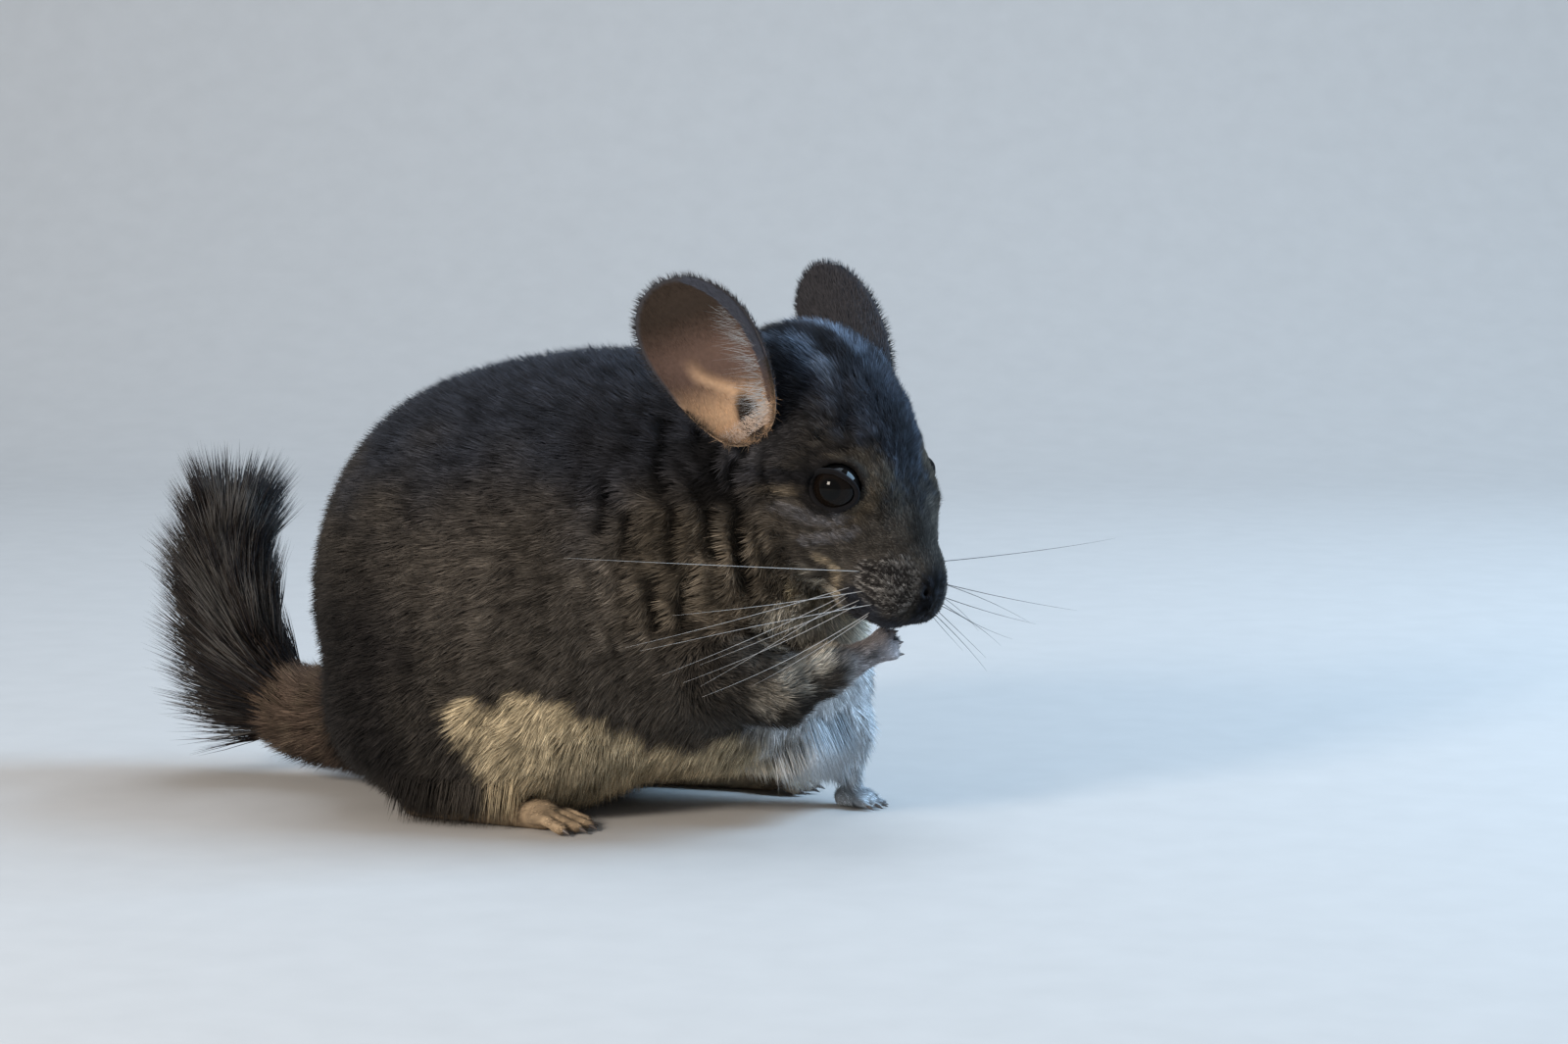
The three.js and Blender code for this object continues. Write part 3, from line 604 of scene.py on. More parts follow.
# Ear cups: a thin bent disc, thicker along its rim and rippled inside
def make_ear(side):
    turns, rings = EAR_RINGS
    angle = np.arange(turns) * 2 * math.pi / turns
    reach = np.sin(np.linspace(0, math.pi / 2, rings))[:, None]
    u, s = (1 + reach * np.sin(angle)) / 2, reach * np.cos(angle)
    ripple = 0.3 * np.sin(u * 16 + s * 2) * step(0.95, 0.6, reach) * step(0.1, 0.3, u)
    ridge = 1.5 * bump(0, 0.16, s + 0.42 - 0.5 * step(0.5, 0.2, u)) * step(0.1, 0.2, u) * step(0.62, 0.4, u)
    thick = (EAR_WALL / 2 + 0.22 * step(0.84, 0.96, reach)) * np.sqrt(np.maximum(1 - reach ** 6, 0))
    inner = ear_place(side, u, s, thick + (ripple + ridge) * step(1.0, 0.9, reach))
    outer = ear_place(side, u, s, -thick)
    shells = inner[1:].reshape(-1, 3), outer[-2:0:-1].reshape(-1, 3)
    verts = np.concatenate((*shells, inner[0, :1], outer[0, :1]))
    u, s = (np.concatenate((value[1:].ravel(), value[-2:0:-1].ravel(), value[0, :2])) for value in (u, s))
    hollow_side = np.arange(len(verts)) < (rings - 1) * turns
    hollow_side[-2] = True
    faces = ring_faces(2 * rings - 3, turns)
    return verts, outward_faces(verts, faces), ear_tint(u, s, hollow_side)


# The rim of the lids: a fine closed ring that lies on the eye and narrows to its two corners
def make_lid(side):
    look, ahead, upper = eye_axes(side)
    turns, sides = 72, 10
    angle = np.arange(turns) * 2 * math.pi / turns
    tilt = np.radians(50 + 22 * np.cos(angle) ** 4 - 7 * np.sin(angle))
    out = (ahead * (np.cos(angle))[:, None] + upper * (np.sin(angle))[:, None])
    middle = eye_centre(side) + 7.15 * (look * np.cos(tilt)[:, None] + out * np.sin(tilt)[:, None])
    ring = np.arange(sides) * 2 * math.pi / sides
    shell = (middle[:, None] + out[:, None] * (np.cos(ring) * 0.85)[None, :, None]
             + look * (np.sin(ring) * 0.75)[None, :, None])
    faces = [(i * sides + j, ((i + 1) % turns) * sides + j,
              ((i + 1) % turns) * sides + (j + 1) % sides, i * sides + (j + 1) % sides)
             for i in range(turns) for j in range(sides)]
    verts = shell.reshape(-1, 3)
    return verts, outward_faces(verts, np.array(faces))


# The eye: a ball of rings about the way that it looks, with a dark pupil in a dark brown iris
def make_eye(side):
    look, ahead, upper = eye_axes(side)
    bands, turns = 36, 64
    tilt = np.linspace(0, math.pi, bands + 1)[1:-1, None]
    angle = np.arange(turns) * 2 * math.pi / turns
    shell = (look * np.cos(tilt)[..., None] + ahead * (np.sin(tilt) * np.cos(angle))[..., None]
             + upper * (np.sin(tilt) * np.sin(angle))[..., None])
    verts = np.concatenate((shell.reshape(-1, 3), [look], [-look])) * (EYE_RADIUS - 0.1)
    turned = np.degrees(np.concatenate((np.repeat(tilt[:, 0], turns), (0, math.pi))))
    ring = step(24, 28, turned) * step(58, 50, turned)
    verts = verts + eye_centre(side)
    return verts, outward_faces(verts, ring_faces(bands - 1, turns)), mix(PUPIL, IRIS, ring)


# A mesh from arrays, in the solids' frame
def mesh_object(name, verts, faces, tint, normals=None):
    mesh = bpy.data.meshes.new(name)
    if faces.shape[1] == 4:
        triple = faces[:, 2] == faces[:, 3]
        sizes = np.where(triple, 3, 4)
        keep = np.ones(faces.shape, bool)
        keep[triple, 3] = False
        loops = faces[keep]
    else:
        sizes = np.full(len(faces), 3)
        loops = faces.reshape(-1)
    mesh.vertices.add(len(verts))
    mesh.vertices.foreach_set("co", ((verts + SHIFT) * MM).astype(np.float32).ravel())
    mesh.loops.add(len(loops))
    mesh.loops.foreach_set("vertex_index", loops.astype(np.int32))
    mesh.polygons.add(len(sizes))
    mesh.polygons.foreach_set("loop_start", (np.cumsum(sizes) - sizes).astype(np.int32))
    mesh.update(calc_edges=True)
    mesh.shade_smooth()
    set_tint(mesh, tint)
    if normals is not None:
        mesh.normals_split_custom_set_from_vertices(normals)
    piece = bpy.data.objects.new(name, mesh)
    bpy.context.scene.collection.objects.link(piece)
    return piece, loops


def set_tint(mesh, tint):
    layer = mesh.color_attributes.get("Tint") or mesh.color_attributes.new("Tint", "FLOAT_COLOR", "POINT")
    rgba = np.ones((len(mesh.vertices), 4), np.float32)
    rgba[:, :3] = tint
    layer.data.foreach_set("color", rgba.ravel())


def set_uv(piece, uv):
    layer = piece.data.uv_layers.new(name="OFBake")
    layer.data.foreach_set("uv", uv.astype(np.float32).ravel())


# Colours of the coat, as plain reflectances
INK = rows(0.008, 0.0075, 0.0085)
CHARCOAL = rows(0.024, 0.027, 0.036)
SMOKE = rows(0.060, 0.052, 0.044)
SLATE = rows(0.11, 0.14, 0.19)
TAUPE = rows(0.115, 0.092, 0.065)
LILAC = rows(0.14, 0.14, 0.155)
ASH = rows(0.19, 0.18, 0.17)
CREAM = rows(0.56, 0.455, 0.295)
WHITE = rows(0.62, 0.66, 0.70)
BUFF = rows(0.40, 0.32, 0.22)
TAN = rows(0.50, 0.34, 0.22)
BROWN = rows(0.052, 0.037, 0.028)
SKIN_PINK = rows(0.30, 0.17, 0.15)
PUPIL = rows(0.002, 0.002, 0.002)
IRIS = rows(0.006, 0.004, 0.003)
EAR_BROWN = rows(0.037, 0.027, 0.021)
EAR_ROSE = rows(0.125, 0.080, 0.064)
EAR_PEACH = rows(0.52, 0.335, 0.205)
EAR_BACK = rows(0.048, 0.047, 0.053)


def mix(a, b, share):
    share = np.asarray(share)[..., None]
    return a * (1 - share) + b * share


def ear_tint(u, s, hollow_side):
    inner = mix(EAR_BROWN, EAR_ROSE, step(0.82, 0.5, u + 0.1 * s))
    inner = mix(inner, EAR_PEACH, step(0.46, 0.22, u + 0.12 * (s + 0.4)))
    ridge = bump(0, 0.2, s + 0.42 - 0.5 * step(0.5, 0.2, u)) * step(0.6, 0.4, u)
    inner = mix(inner, EAR_PEACH * 1.15, 0.8 * ridge)
    edge = np.sqrt(np.maximum(1 - (2 * u - 1) ** 2, 0.01))
    # Painted shade of the ear's opening: a black spot low in the hollow where the canal goes in
    inner = mix(inner, INK, 0.97 * step(0.15, 0.09, np.hypot((u - 0.12) * 0.8, (s - 0.02) * 0.55)))
    inner = mix(inner, CHARCOAL * 2.2, 0.85 * step(0.66, 0.84, s / edge) * step(0.15, 0.35, u))
    inner = mix(inner, EAR_BACK, step(0.93, 0.99, np.hypot(2 * u - 1, s)) * step(0.3, 0.5, u))
    return mix(EAR_BACK, inner, hollow_side.astype(float))


# Where the dark flank gives way to the pale belly: heights at places along the body
BELLY_X = (-21, 1.5, 18, 33, 60, 83)
BELLY_Z = (34, 42, 34, 25, 27, 33)


def body_tint(points):
    x, y, z = points.T
    side = np.abs(y)
    # The coat darkens towards the top; the charcoal's bluish cast there is painted cool light from above
    tint = mix(SMOKE, CHARCOAL, step(76, 114, z + 5 * swell(points, 26, 11)))
    dark = step(-12, -44, x + 6 * swell(points, 22, 12)) * step(100, 50, z)
    tint = mix(tint, INK, 0.8 * dark)
    tint = mix(tint, TAUPE, 0.55 * step(22, 44, x) * step(104, 88, z) * step(50, 64, z))
    # Painted shade on the neck's sides below the ears, behind the jaw
    tint = mix(tint, INK, 0.55 * step(6, 18, x) * step(86, 98, z) * step(16, 30, side))
    tint = mix(tint, SMOKE * 1.5, 0.65 * bump(-16, 30, x) * step(96, 78, z) * step(46, 60, z))
    rag = 2.2 * swell(points, 12, 13) + 0.8 * swell(points, 3.5, 14)
    edge = np.interp(x, BELLY_X, BELLY_Z) + rag
    rear = -12 + 0.5 * (25 - z)
    belly = step(edge + 3.5, edge - 3.5, z) * step(rear - 3.5, rear + 3.5, x + rag)
    tint = mix(tint, CREAM, belly)
    front = step(58, 69, x + rag) * step(72, 62, z + rag) * step(31, 22, side + rag)
    tint = mix(tint, mix(CREAM, SMOKE, 0.45 * step(-0.4, 0.9, swell(points, 6, 15))), front)
    return mix(tint, WHITE, front * step(58, 46, z + rag))


# Streaks of the face: lines of (forward, up) in the head's axes, their colour, half width and strength
STREAKS = (
    (((11.0, 2.5), (11.6, 8.3), (14.5, 14.6), (19.3, 17.5), (25, 16.5)), INK, 1.9, 0.7),
    (((16.0, -2.6), (10.7, -7.8), (5.5, -12.5)), TAUPE * 1.3, 2.2, 0.8),
    (((15.5, 2.0), (7.4, -5.7), (1.0, -12.2)), INK, 3.2, 1.0),
    (((-22, 12.5), (-14.5, 12.5), (-8.5, 10), (-3, 5)), INK, 3.2, 0.9),
    (((-4, 21), (2, 19.5), (10.5, 14.5)), INK, 1.7, 0.75),
)
UNDER_EYE = ((((15.5, -11.0), (23.4, -6.6), (28.5, -0.6)), 3.0, 0.85),
             (((27, -11.5), (30.5, -7.0), (33.0, -2.0)), 2.6, 0.8))
MOUTH_CORNER = ((31.5, -12.8), (36.8, -13.2), (40.8, -20.0))


def head_tint(points):
    u, v, w = to_head(points).T
    side, flat = np.abs(v), np.stack((u, w), 1)
    rag = 0.8 * swell(points, 6, 21) + 0.6 * swell(points, 2.2, 22)
    speckle = step(-0.5, 1.1, swell(points, 2.4, 23))

    def streak(line, width, power):
        return power * step(width, width * 0.35, chain(flat, line)[0] + 0.5 * rag) * step(6, 12, side)

    top = step(7, 15, w - 0.1 * side + rag)
    tint = mix(SMOKE, CHARCOAL, top)
    # Speckled coat on the top of the head; the bluish speckle that grows towards the bridge is partly painted
    # highlight
    tint = mix(tint, SLATE, (0.2 + 0.28 * step(14, 30, u)) * speckle * top * step(-6, 6, u))
    crown = step(0, -9, u) * step(5, 11, w)
    tint = mix(tint, SLATE * 1.7, 0.85 * crown * bump(13.5, 4.5, side + rag))
    tint = mix(tint, SLATE * 1.5, 0.7 * crown * bump(0.5, 3, side + rag))
    tint = mix(tint, INK, 0.85 * crown * bump(7.2, 3.6, side + rag))
    tint = mix(tint, INK, 0.45 * step(6, 2.5, side + rag) * step(2, 12, u))
    eye = np.hypot(u - EYE_AT[0], w - EYE_AT[2])
    ahead = step(-0.5, 0.35, ((u - EYE_AT[0]) * 0.55 + (w - EYE_AT[2]) * 0.83) / (eye + 0.1))
    tint = mix(tint, TAUPE * 0.6, 0.8 * ahead * step(14.5, 10, eye + rag) * step(5, 9, side))
    for line, colour, width, power in STREAKS:
        tint = mix(tint, colour, streak(line, width, power))
    for line, width, power in UNDER_EYE:
        tint = mix(tint, LILAC, streak(line, width, power) * (0.4 + 0.6 * speckle))
    tint = mix(tint, INK, 0.85 * step(8.8, 7.3, eye) * step(10, 14, side))
    pad = step(9.5, 6.5, np.hypot(u - 48.5, w + 7.5) + rag) * step(4, 8, side)
    tint = mix(tint, mix(INK * 1.2, ASH * 1.1, step(-0.1, 0.6, swell(points, 1.5, 24))), 0.8 * pad)
    tint = mix(tint, BUFF * 0.8, streak(MOUTH_CORNER, 2.1, 0.8))
    tint = mix(tint, CHARCOAL * 0.8, step(-11, -15, w + 0.5 * rag) * step(40, 44, u))
    nose = step(50, 54, u) * step(7, 4.5, side)
    tint = mix(tint, mix(INK * 0.8, CHARCOAL * 1.1, speckle), nose)
    throat = step(-19, -24, w + rag + 0.25 * (u - 42)) * step(46, 42, u) * step(27, 35, u)
    return mix(tint, mix(CREAM, WHITE, 0.3), throat)


# The pale hair of the throat, along a line of (x, z) on the turned side
THROAT_LINE = ((72, 60.5), (78.5, 57), (81, 52), (76, 46), (70, 40))


def throat_share(points):
    gap, _, along = chain(points[:, (0, 2)], THROAT_LINE)
    edge = 5.8 - 1.8 * along + 1.2 * swell(points, 6, 16)
    return step(edge + 2.5, edge - 2.5, gap) * step(12, 4, points[:, 1]) * (1 - 0.72 * step(0.45, 0.7, along))


def arm_tint(points, normals):
    outside = normals @ unit(rows(-0.3, -0.9, 0.1)) + 0.22 * swell(points, 7, 31)
    tint = mix(WHITE * 0.8, SMOKE * 0.8, step(-0.35, 0.1, outside))
    return mix(tint, TAUPE * 1.4, 0.5 * step(82, 92, points[:, 0]))


# The colour of the coat at each root: each part's own, shared out at the joins
def coat_tint(points, normals, shares):
    pale_leg = mix(WHITE, SMOKE, 0.5 * step(50, 62, points[:, 2]))
    tail = mix(BROWN * 1.7, TAUPE, 0.5 * step(0.2, 1.2, swell(points, 7, 41)))
    foot = mix(mix(TAN, CREAM, 0.4), WHITE, step(50, 66, points[:, 0]))
    foot = mix(foot, SKIN_PINK * 0.8, 0.5 * step(30, 44, points[:, 2]))
    paints = (body_tint(points), head_tint(points), arm_tint(points, normals), pale_leg, tail, foot)
    tint = sum(paint * shares[:, k, None] for k, paint in enumerate(paints))
    pale = throat_share(points) * (shares[:, 0] + shares[:, 2])
    pale = np.clip(pale * (0.95 + 0.3 * swell(points, 4.5, 17)), 0, 1)
    tint = mix(tint, mix(CREAM, WHITE, 0.35), pale)
    mottle = 1 + 0.2 * swell(points, 13, 51) + 0.22 * swell(points, 5, 52) + 0.18 * swell(points, 2.3, 53)
    # Painted shade in the valleys of the neck's folds and painted highlight on their ridges
    dark = np.exp(1.45 * np.clip(folds(points), -1.1, 0.8))
    return tint * np.clip(mottle * dark, 0.2, 2.6)[:, None]


# Which way the hair lies at each root
def lie_of(points, normals, shares):
    body = np.tile(unit(rows(-1.0, 0.0, -0.42)), (len(points), 1))
    body[:, 2] -= 0.6 * step(60, 20, points[:, 2])
    head = -HEAD_FORWARD - 0.25 * HEAD_UP + 0.3 * HEAD_LEFT * np.sign(to_head(points)[:, 1:2])
    foot = np.zeros(points.shape)
    for heel, knuckles, _, _ in FEET.values():
        near = np.exp(-np.linalg.norm(points - rows(*knuckles), axis=1) / 12)
        foot += near[:, None] * unit(rows(*knuckles) - rows(*heel))
    ways = (body, head, chain(points, RIGHT_ARM[0])[1], chain(points, LEFT_ARM[0])[1],
            chain(points, TAIL_LINE)[1], unit(foot))
    way = sum(unit(lie) * shares[:, k, None] for k, lie in enumerate(ways))
    turn = 0.22 * swell(points, 17, 61) + 0.2 * swell(points, 5.5, 62)
    way = way + np.cross(normals, way) * turn[:, None]
    return unit(way - normals * np.einsum("ij,ij->i", way, normals)[:, None])


# Length, rise and half width of the tufts at each root, each part's own, shared out at the joins
def tuft_sizes(points, shares):
    local = to_head(points)
    u, side, w = local[:, 0], np.abs(local[:, 1]), local[:, 2]
    belly = step(46, 20, points[:, 2])
    eye = np.linalg.norm(np.stack((u, side, w), 1) - EYE_AT, axis=1)
    face = TUFT_LENGTH[1] - 1.6 * step(-8, 20, u) - 1.2 * step(28, 44, u)
    face = face * (0.45 + 0.55 * step(8, 15, eye)) + 1.8 * step(-14, -22, w) * step(50, 44, u)
    length = np.tile(TUFT_LENGTH, (len(points), 1))
    length[:, 0] += 1.6 * belly
    length[:, 1] = face
    length, rise, width = (length * shares).sum(1), shares @ np.radians(TUFT_RISE), shares @ rows(*TUFT_WIDTH)
    for sign in (1, -1):
        base, tip = (from_head(sided(value, sign)) for value in EARS[sign][:2])
        gap = chain(points, (base, base + 0.45 * (tip - base)))[0]
        length = length * (0.35 + 0.65 * step(9, 20, gap))
    return length, rise, width


def tuft_density(points, shares):
    face = step(-10, 30, to_head(points)[:, 0])
    here = np.tile(TUFT_DENSITY, (len(points), 1))
    here[:, 1] += 3.2 * face
    return (here * shares).sum(1) * (points[:, 2] > 0.8)


# Roots spread over the skin by area, denser where the hair is finer
def scatter(verts, faces, normals, uv, seed):
    chance = np.random.default_rng(seed)
    square = faces[:, 2] != faces[:, 3]
    owner = np.concatenate((np.arange(len(faces)), np.nonzero(square)[0]))
    halves = (np.tile((0, 1, 2), (len(faces), 1)), np.tile((0, 2, 3), (int(square.sum()), 1)))
    corner = np.concatenate(halves)
    tris = faces[owner[:, None], corner]
    a, b, c = (verts[tris[:, k]] for k in range(3))
    area = np.linalg.norm(np.cross(b - a, c - a), axis=1) / 2
    middle = (a + b + c) / 3
    wanted = area * tuft_density(middle, part_shares(middle)) * (trunk_skin(middle) > -0.8)
    pick = np.repeat(np.arange(len(tris)), chance.poisson(wanted))
    share = chance.random((len(pick), 2))
    over = share.sum(1) > 1
    share[over] = 1 - share[over]
    weights = np.stack((1 - share.sum(1), share[:, 0], share[:, 1]), 1)
    points = np.einsum("ij,ijk->ik", weights, verts[tris[pick]])
    normal = unit(np.einsum("ij,ijk->ik", weights, normals[tris[pick]]))
    places = uv[owner[pick][:, None], corner[pick]]
    return points, normal, np.einsum("ij,ijk->ik", weights, places)


# Roots where no fur grows: on the eyes, in the nostrils and inside the ears
def bare_at(points):
    bare = np.zeros(len(points), bool)
    for side in (1, -1):
        bare |= np.linalg.norm(points - eye_centre(side), axis=1) < 8.0
        bare |= np.linalg.norm(points - from_head(sided(NOSTRIL_AT, side)), axis=1) < 1.9
        base, axis, across, outward, _ = ear_axes(side)
        local = sided(to_head(points), side) - base
        along, off, out = local @ axis, local @ across, local @ outward
        bend = EAR_CURL + EAR_OPENING * (along + EAR_SUNK) / 50
        inside = (along > -4) & (along < 30) & (out > -0.6) & (out < 16)
        bare |= inside & (np.hypot(off, out - bend) < bend + 0.6)
    return bare


# Needles: thin pyramids of four points on roots sunk a little in the skin, closed all round
NEEDLE = np.array([(0, 2, 1), (0, 1, 3), (1, 2, 3), (2, 0, 3)])


def needles(roots, lean, across, length, width):
    up = np.cross(lean, across)
    wide, high = across * width[:, None], up * (width * 0.8)[:, None]
    verts = np.stack((roots - wide, roots + wide, roots + high, roots + lean * length[:, None]), 1)
    return verts, np.stack((-across, across, up, 0.4 * lean), 1)


# The coat's tufts: each leans along the lie of the hair
def grow(points, normals, way, length, rise, width, chance):
    count = len(points)
    rise = rise * chance.uniform(0.75, 1.3, count) * (1 + 0.14 * swell(points, 2.6, 71))
    length = length * chance.uniform(0.7, 1.15, count) * (1 + 0.05 * swell(points, 4, 72))
    way = unit(way + np.cross(normals, way) * chance.normal(0, 0.15, count)[:, None])
    lean = way * np.cos(rise)[:, None] + normals * np.sin(rise)[:, None]
    verts, bulge = needles(points - normals * 0.4, lean, np.cross(normals, way), length,
                           width * chance.uniform(0.7, 1.25, count))
    verts[:, :, 2] = np.maximum(verts[:, :, 2], chance.uniform(0.08, 0.5, count)[:, None])
    return verts, unit(normals[:, None] * 0.9 + bulge * 0.35)


# Long tapered strands of two rings: each bends from its root way to its tip way
def strands(roots, first, last, lengths, widths, flat_face):
    spots = rows(0, 0.3, 0.65, 1.0)
    line = (roots[:, None] + first[:, None] * (lengths[:, None] * (spots - 0.5 * spots ** 2))[..., None]
            + last[:, None] * (lengths[:, None] * 0.5 * spots ** 2)[..., None])
    across = unit(np.cross(flat_face, first))
    out = unit(np.cross(first, across))
    verts = [line[:, 0]]
    for level, wide in ((1, 1.0), (2, 0.75)):
        for k in range(3):
            turn = 2 * math.pi * k / 3
            verts.append(line[:, level] + across * (math.cos(turn) * widths * wide)[:, None]
                         + out * (math.sin(turn) * widths * wide * 0.7)[:, None])
    verts.append(line[:, 3])
    faces = [(0, 2, 1), (0, 3, 2), (0, 1, 3)]
    for k in range(3):
        a, b = 1 + k, 1 + (k + 1) % 3
        faces += [(a, b, b + 3), (a, b + 3, a + 3), (7, a + 3, b + 3)]
    return np.stack(verts, 1), np.array(faces)


# The brush: strands all round the tail's end, rooted on its core, that spread to their tips
def make_brush(chance):
    count = BRUSH["count"]
    share = BRUSH["first"] + (1 - BRUSH["first"]) * chance.random(count) ** 0.8
    slot = share * (len(TAIL_LINE) - 1)
    below = np.minimum(slot.astype(int), len(TAIL_LINE) - 2)
    way = unit(TAIL_LINE[below + 1] - TAIL_LINE[below])
    centre = TAIL_LINE[below] + (slot - below)[:, None] * (TAIL_LINE[below + 1] - TAIL_LINE[below])
    side = unit(np.cross(rows(0, 1, 0), way))
    turn = chance.uniform(0, 2 * math.pi, count)
    out = side * np.cos(turn)[:, None] + np.cross(way, side) * np.sin(turn)[:, None]
    radius = np.interp(share, np.linspace(0, 1, len(TAIL_SKIN)), TAIL_SKIN)
    roots = centre + out * (radius - 0.6)[:, None]
    spread = 0.6 + 0.3 * chance.random(count)
    clump = np.stack([swell(roots + out * 4, 7, 81 + k) for k in range(3)], 1)
    first = unit(way + out * spread[:, None] + 0.06 * clump)
    last = unit(way + out * (spread * 0.5)[:, None] + 0.16 * clump + chance.normal(0, 0.09, (count, 3)))
    lengths = BRUSH["length"] * chance.uniform(0.55, 1.15, count) * (1 - 0.18 * share)
    widths = BRUSH["width"] * chance.uniform(0.7, 1.3, count)
    verts, pattern = strands(roots, first, last, lengths, widths, out)
    pale = step(0.0, 0.9, swell(roots + out * 5, 9, 85) + chance.normal(0, 0.35, count))
    tint = mix(mix(BROWN, CHARCOAL, chance.random(count)) * 0.7, ASH * 0.85, 0.75 * pale)
    fade = np.interp(np.arange(8), (0, 7), (1.15, 0.7))
    return verts, pattern, roots, tint[:, None] * fade[None, :, None]


def make_whiskers(chance):
    shells = []
    for side, (highest, lowest, longer) in WHISKER_FAN.items():
        for number in range(WHISKER["count"]):
            share = (number / (WHISKER["count"] - 1)) ** 0.55
            length = (WHISKER["long"] * (1 - share) + WHISKER["short"] * share) * longer
            length *= chance.uniform(0.72, 1.0) if number else 0.95
            root = rows(*WHISKER["at"]) + rows(4 * (number % 3) - 3.5, -1.5, 4 - 9.0 * share)
            way = rows(*highest) * (1 - share) + rows(*lowest) * share + rows(chance.normal(0, 0.06), 0, 0)
            way = unit(way)
            spots = np.linspace(0, 1, 15)[:, None]
            line = root + way * spots * length + rows(*WHISKER["droop"]) * length * spots ** 2
            line += rows(0, 0, 1) * chance.normal(0, 1.4) * np.sin(spots * math.pi)
            shells.append(tube(from_head(sided(line, side)), WHISKER["thick"] * (1 - 0.85 * spots[:, 0]), 6))
    return join(shells)


def make_claws():
    shells = []
    for foot in FEET.values():
        for root, way, length, thick in paw_cones(*foot)[1]:
            spots = np.linspace(0, 1, 7)
            line = root - way + way * (spots * (length + 1))[:, None]
            line = line - rows(0, 0, 1) * (0.5 * spots ** 2)[:, None]
            line[:, 2] = np.maximum(line[:, 2], 0.45)
            shells.append(tube(line, thick * (1 - spots ** 1.6) + 0.08, 10))
    return join(shells)


# Hair of the ears: a fringe round the rim, short fur on the back, inside and along the front edge, long
# white hairs that start inside the front edge and fan out over the hollow, and fuzz round the base
def ear_hair(side, chance):
    def spread_out(u, s, wall, way, length, width, tint, jitter):
        here = ear_place(side, u, s, wall)
        to_tip = unit(ear_place(side, u + 0.02, s, wall) - here)
        to_front = unit(ear_place(side, u, s + 0.02, wall) - here)
        hollow = unit(ear_place(side, u, s, wall + 0.5) - here)
        lean = sum(part * np.broadcast_to(share, len(u))[:, None]
                   for part, share in zip((to_tip, to_front, hollow), way))
        lean = unit(lean + chance.normal(0, jitter, here.shape))
        across = unit(np.cross(hollow, lean))
        verts, bulge = needles(here, lean, across, length, np.full(len(u), width))
        tints = tint * chance.uniform(0.7, 1.3, len(u))[:, None]
        return verts, unit(hollow[:, None] * 0.6 * np.sign(wall + 1e-6) + bulge), tints

    def on_rim(first, last, count, reach):
        turn = chance.uniform(first * math.pi, last * math.pi, count)
        return turn, (1 + reach * np.sin(turn)) / 2, reach * np.cos(turn)

    def on_disc(count, widest):
        reach, turn = np.sqrt(chance.random(count)) * widest, chance.uniform(0, 2 * math.pi, count)
        return (1 + reach * np.sin(turn)) / 2, reach * np.cos(turn)

    sets = []
    turn, u, s = on_rim(-0.22, 1.22, 1100, 0.97)
    sets.append(spread_out(u, s, 0, (np.sin(turn) + 0.4, np.cos(turn), 0), chance.uniform(1.6, 3.4, 1100),
                           0.09, EAR_BACK * 0.8, 0.22))
    u, s = on_disc(5200, 0.98)
    sets.append(spread_out(u, s, -EAR_WALL / 2, (1, 0.2 * s, -0.35), chance.uniform(1.4, 2.4, 5200), 0.13,
                           EAR_BACK, 0.12))
    u, s = on_disc(4200, 0.97)
    sets.append(spread_out(u, s, EAR_WALL / 2, (1, 0, 0.2), chance.uniform(0.8, 1.5, 4200), 0.06,
                           ear_tint(u, s, np.ones(len(u))) * 1.15, 0.15))
    u = chance.uniform(0.14, 0.93, 3400)
    s = chance.uniform(0.7, 0.97, 3400) * np.sqrt(1 - (2 * u - 1) ** 2)
    sets.append(spread_out(u, s, EAR_WALL / 2, (1, 0.1, 0.4), chance.uniform(1.3, 2.2, 3400), 0.1,
                           mix(CHARCOAL * 2.4, EAR_ROSE, step(0.4, 0.15, u)), 0.2))
    u = 0.1 + 0.6 * chance.random(300) ** 1.8
    s = (0.62 + chance.normal(0, 0.1, 300)) * np.sqrt(1 - (2 * u - 1) ** 2)
    rise = np.clip(0.25 + 1.2 * (u - 0.1), 0, 0.8)
    sets.append(spread_out(u, s, EAR_WALL / 2, (rise, -(1 - 0.65 * rise), 0.4),
                           chance.uniform(4, 12, 300) * step(1.0, 0.3, u), 0.05,
                           WHITE * (0.85 - 0.7 * u)[:, None], 0.26))
    u, s = chance.uniform(0.05, 0.13, 600), chance.uniform(-0.9, 0.9, 600)
    s = s * np.sqrt(1 - (2 * u - 1) ** 2)
    sets.append(spread_out(u, s, EAR_WALL / 2, (0.6, -0.3, 0.7), chance.uniform(1.6, 3.6, 600), 0.08,
                           mix(EAR_PEACH, WHITE, 0.3), 0.3))
    turn, u, s = on_rim(1.1, 1.9, 900, 0.98)
    length, tint = chance.uniform(1.5, 3.8, 900), mix(EAR_PEACH * 0.8, SMOKE * 1.5, chance.random(900))
    sets.append(spread_out(u, s, 0, (0.2, 0.5 * np.cos(turn), 0.6), length, 0.1,
                           mix(tint, SMOKE, step(0.1, 0.3, u)), 0.35))
    return [np.concatenate(part) for part in zip(*sets)]


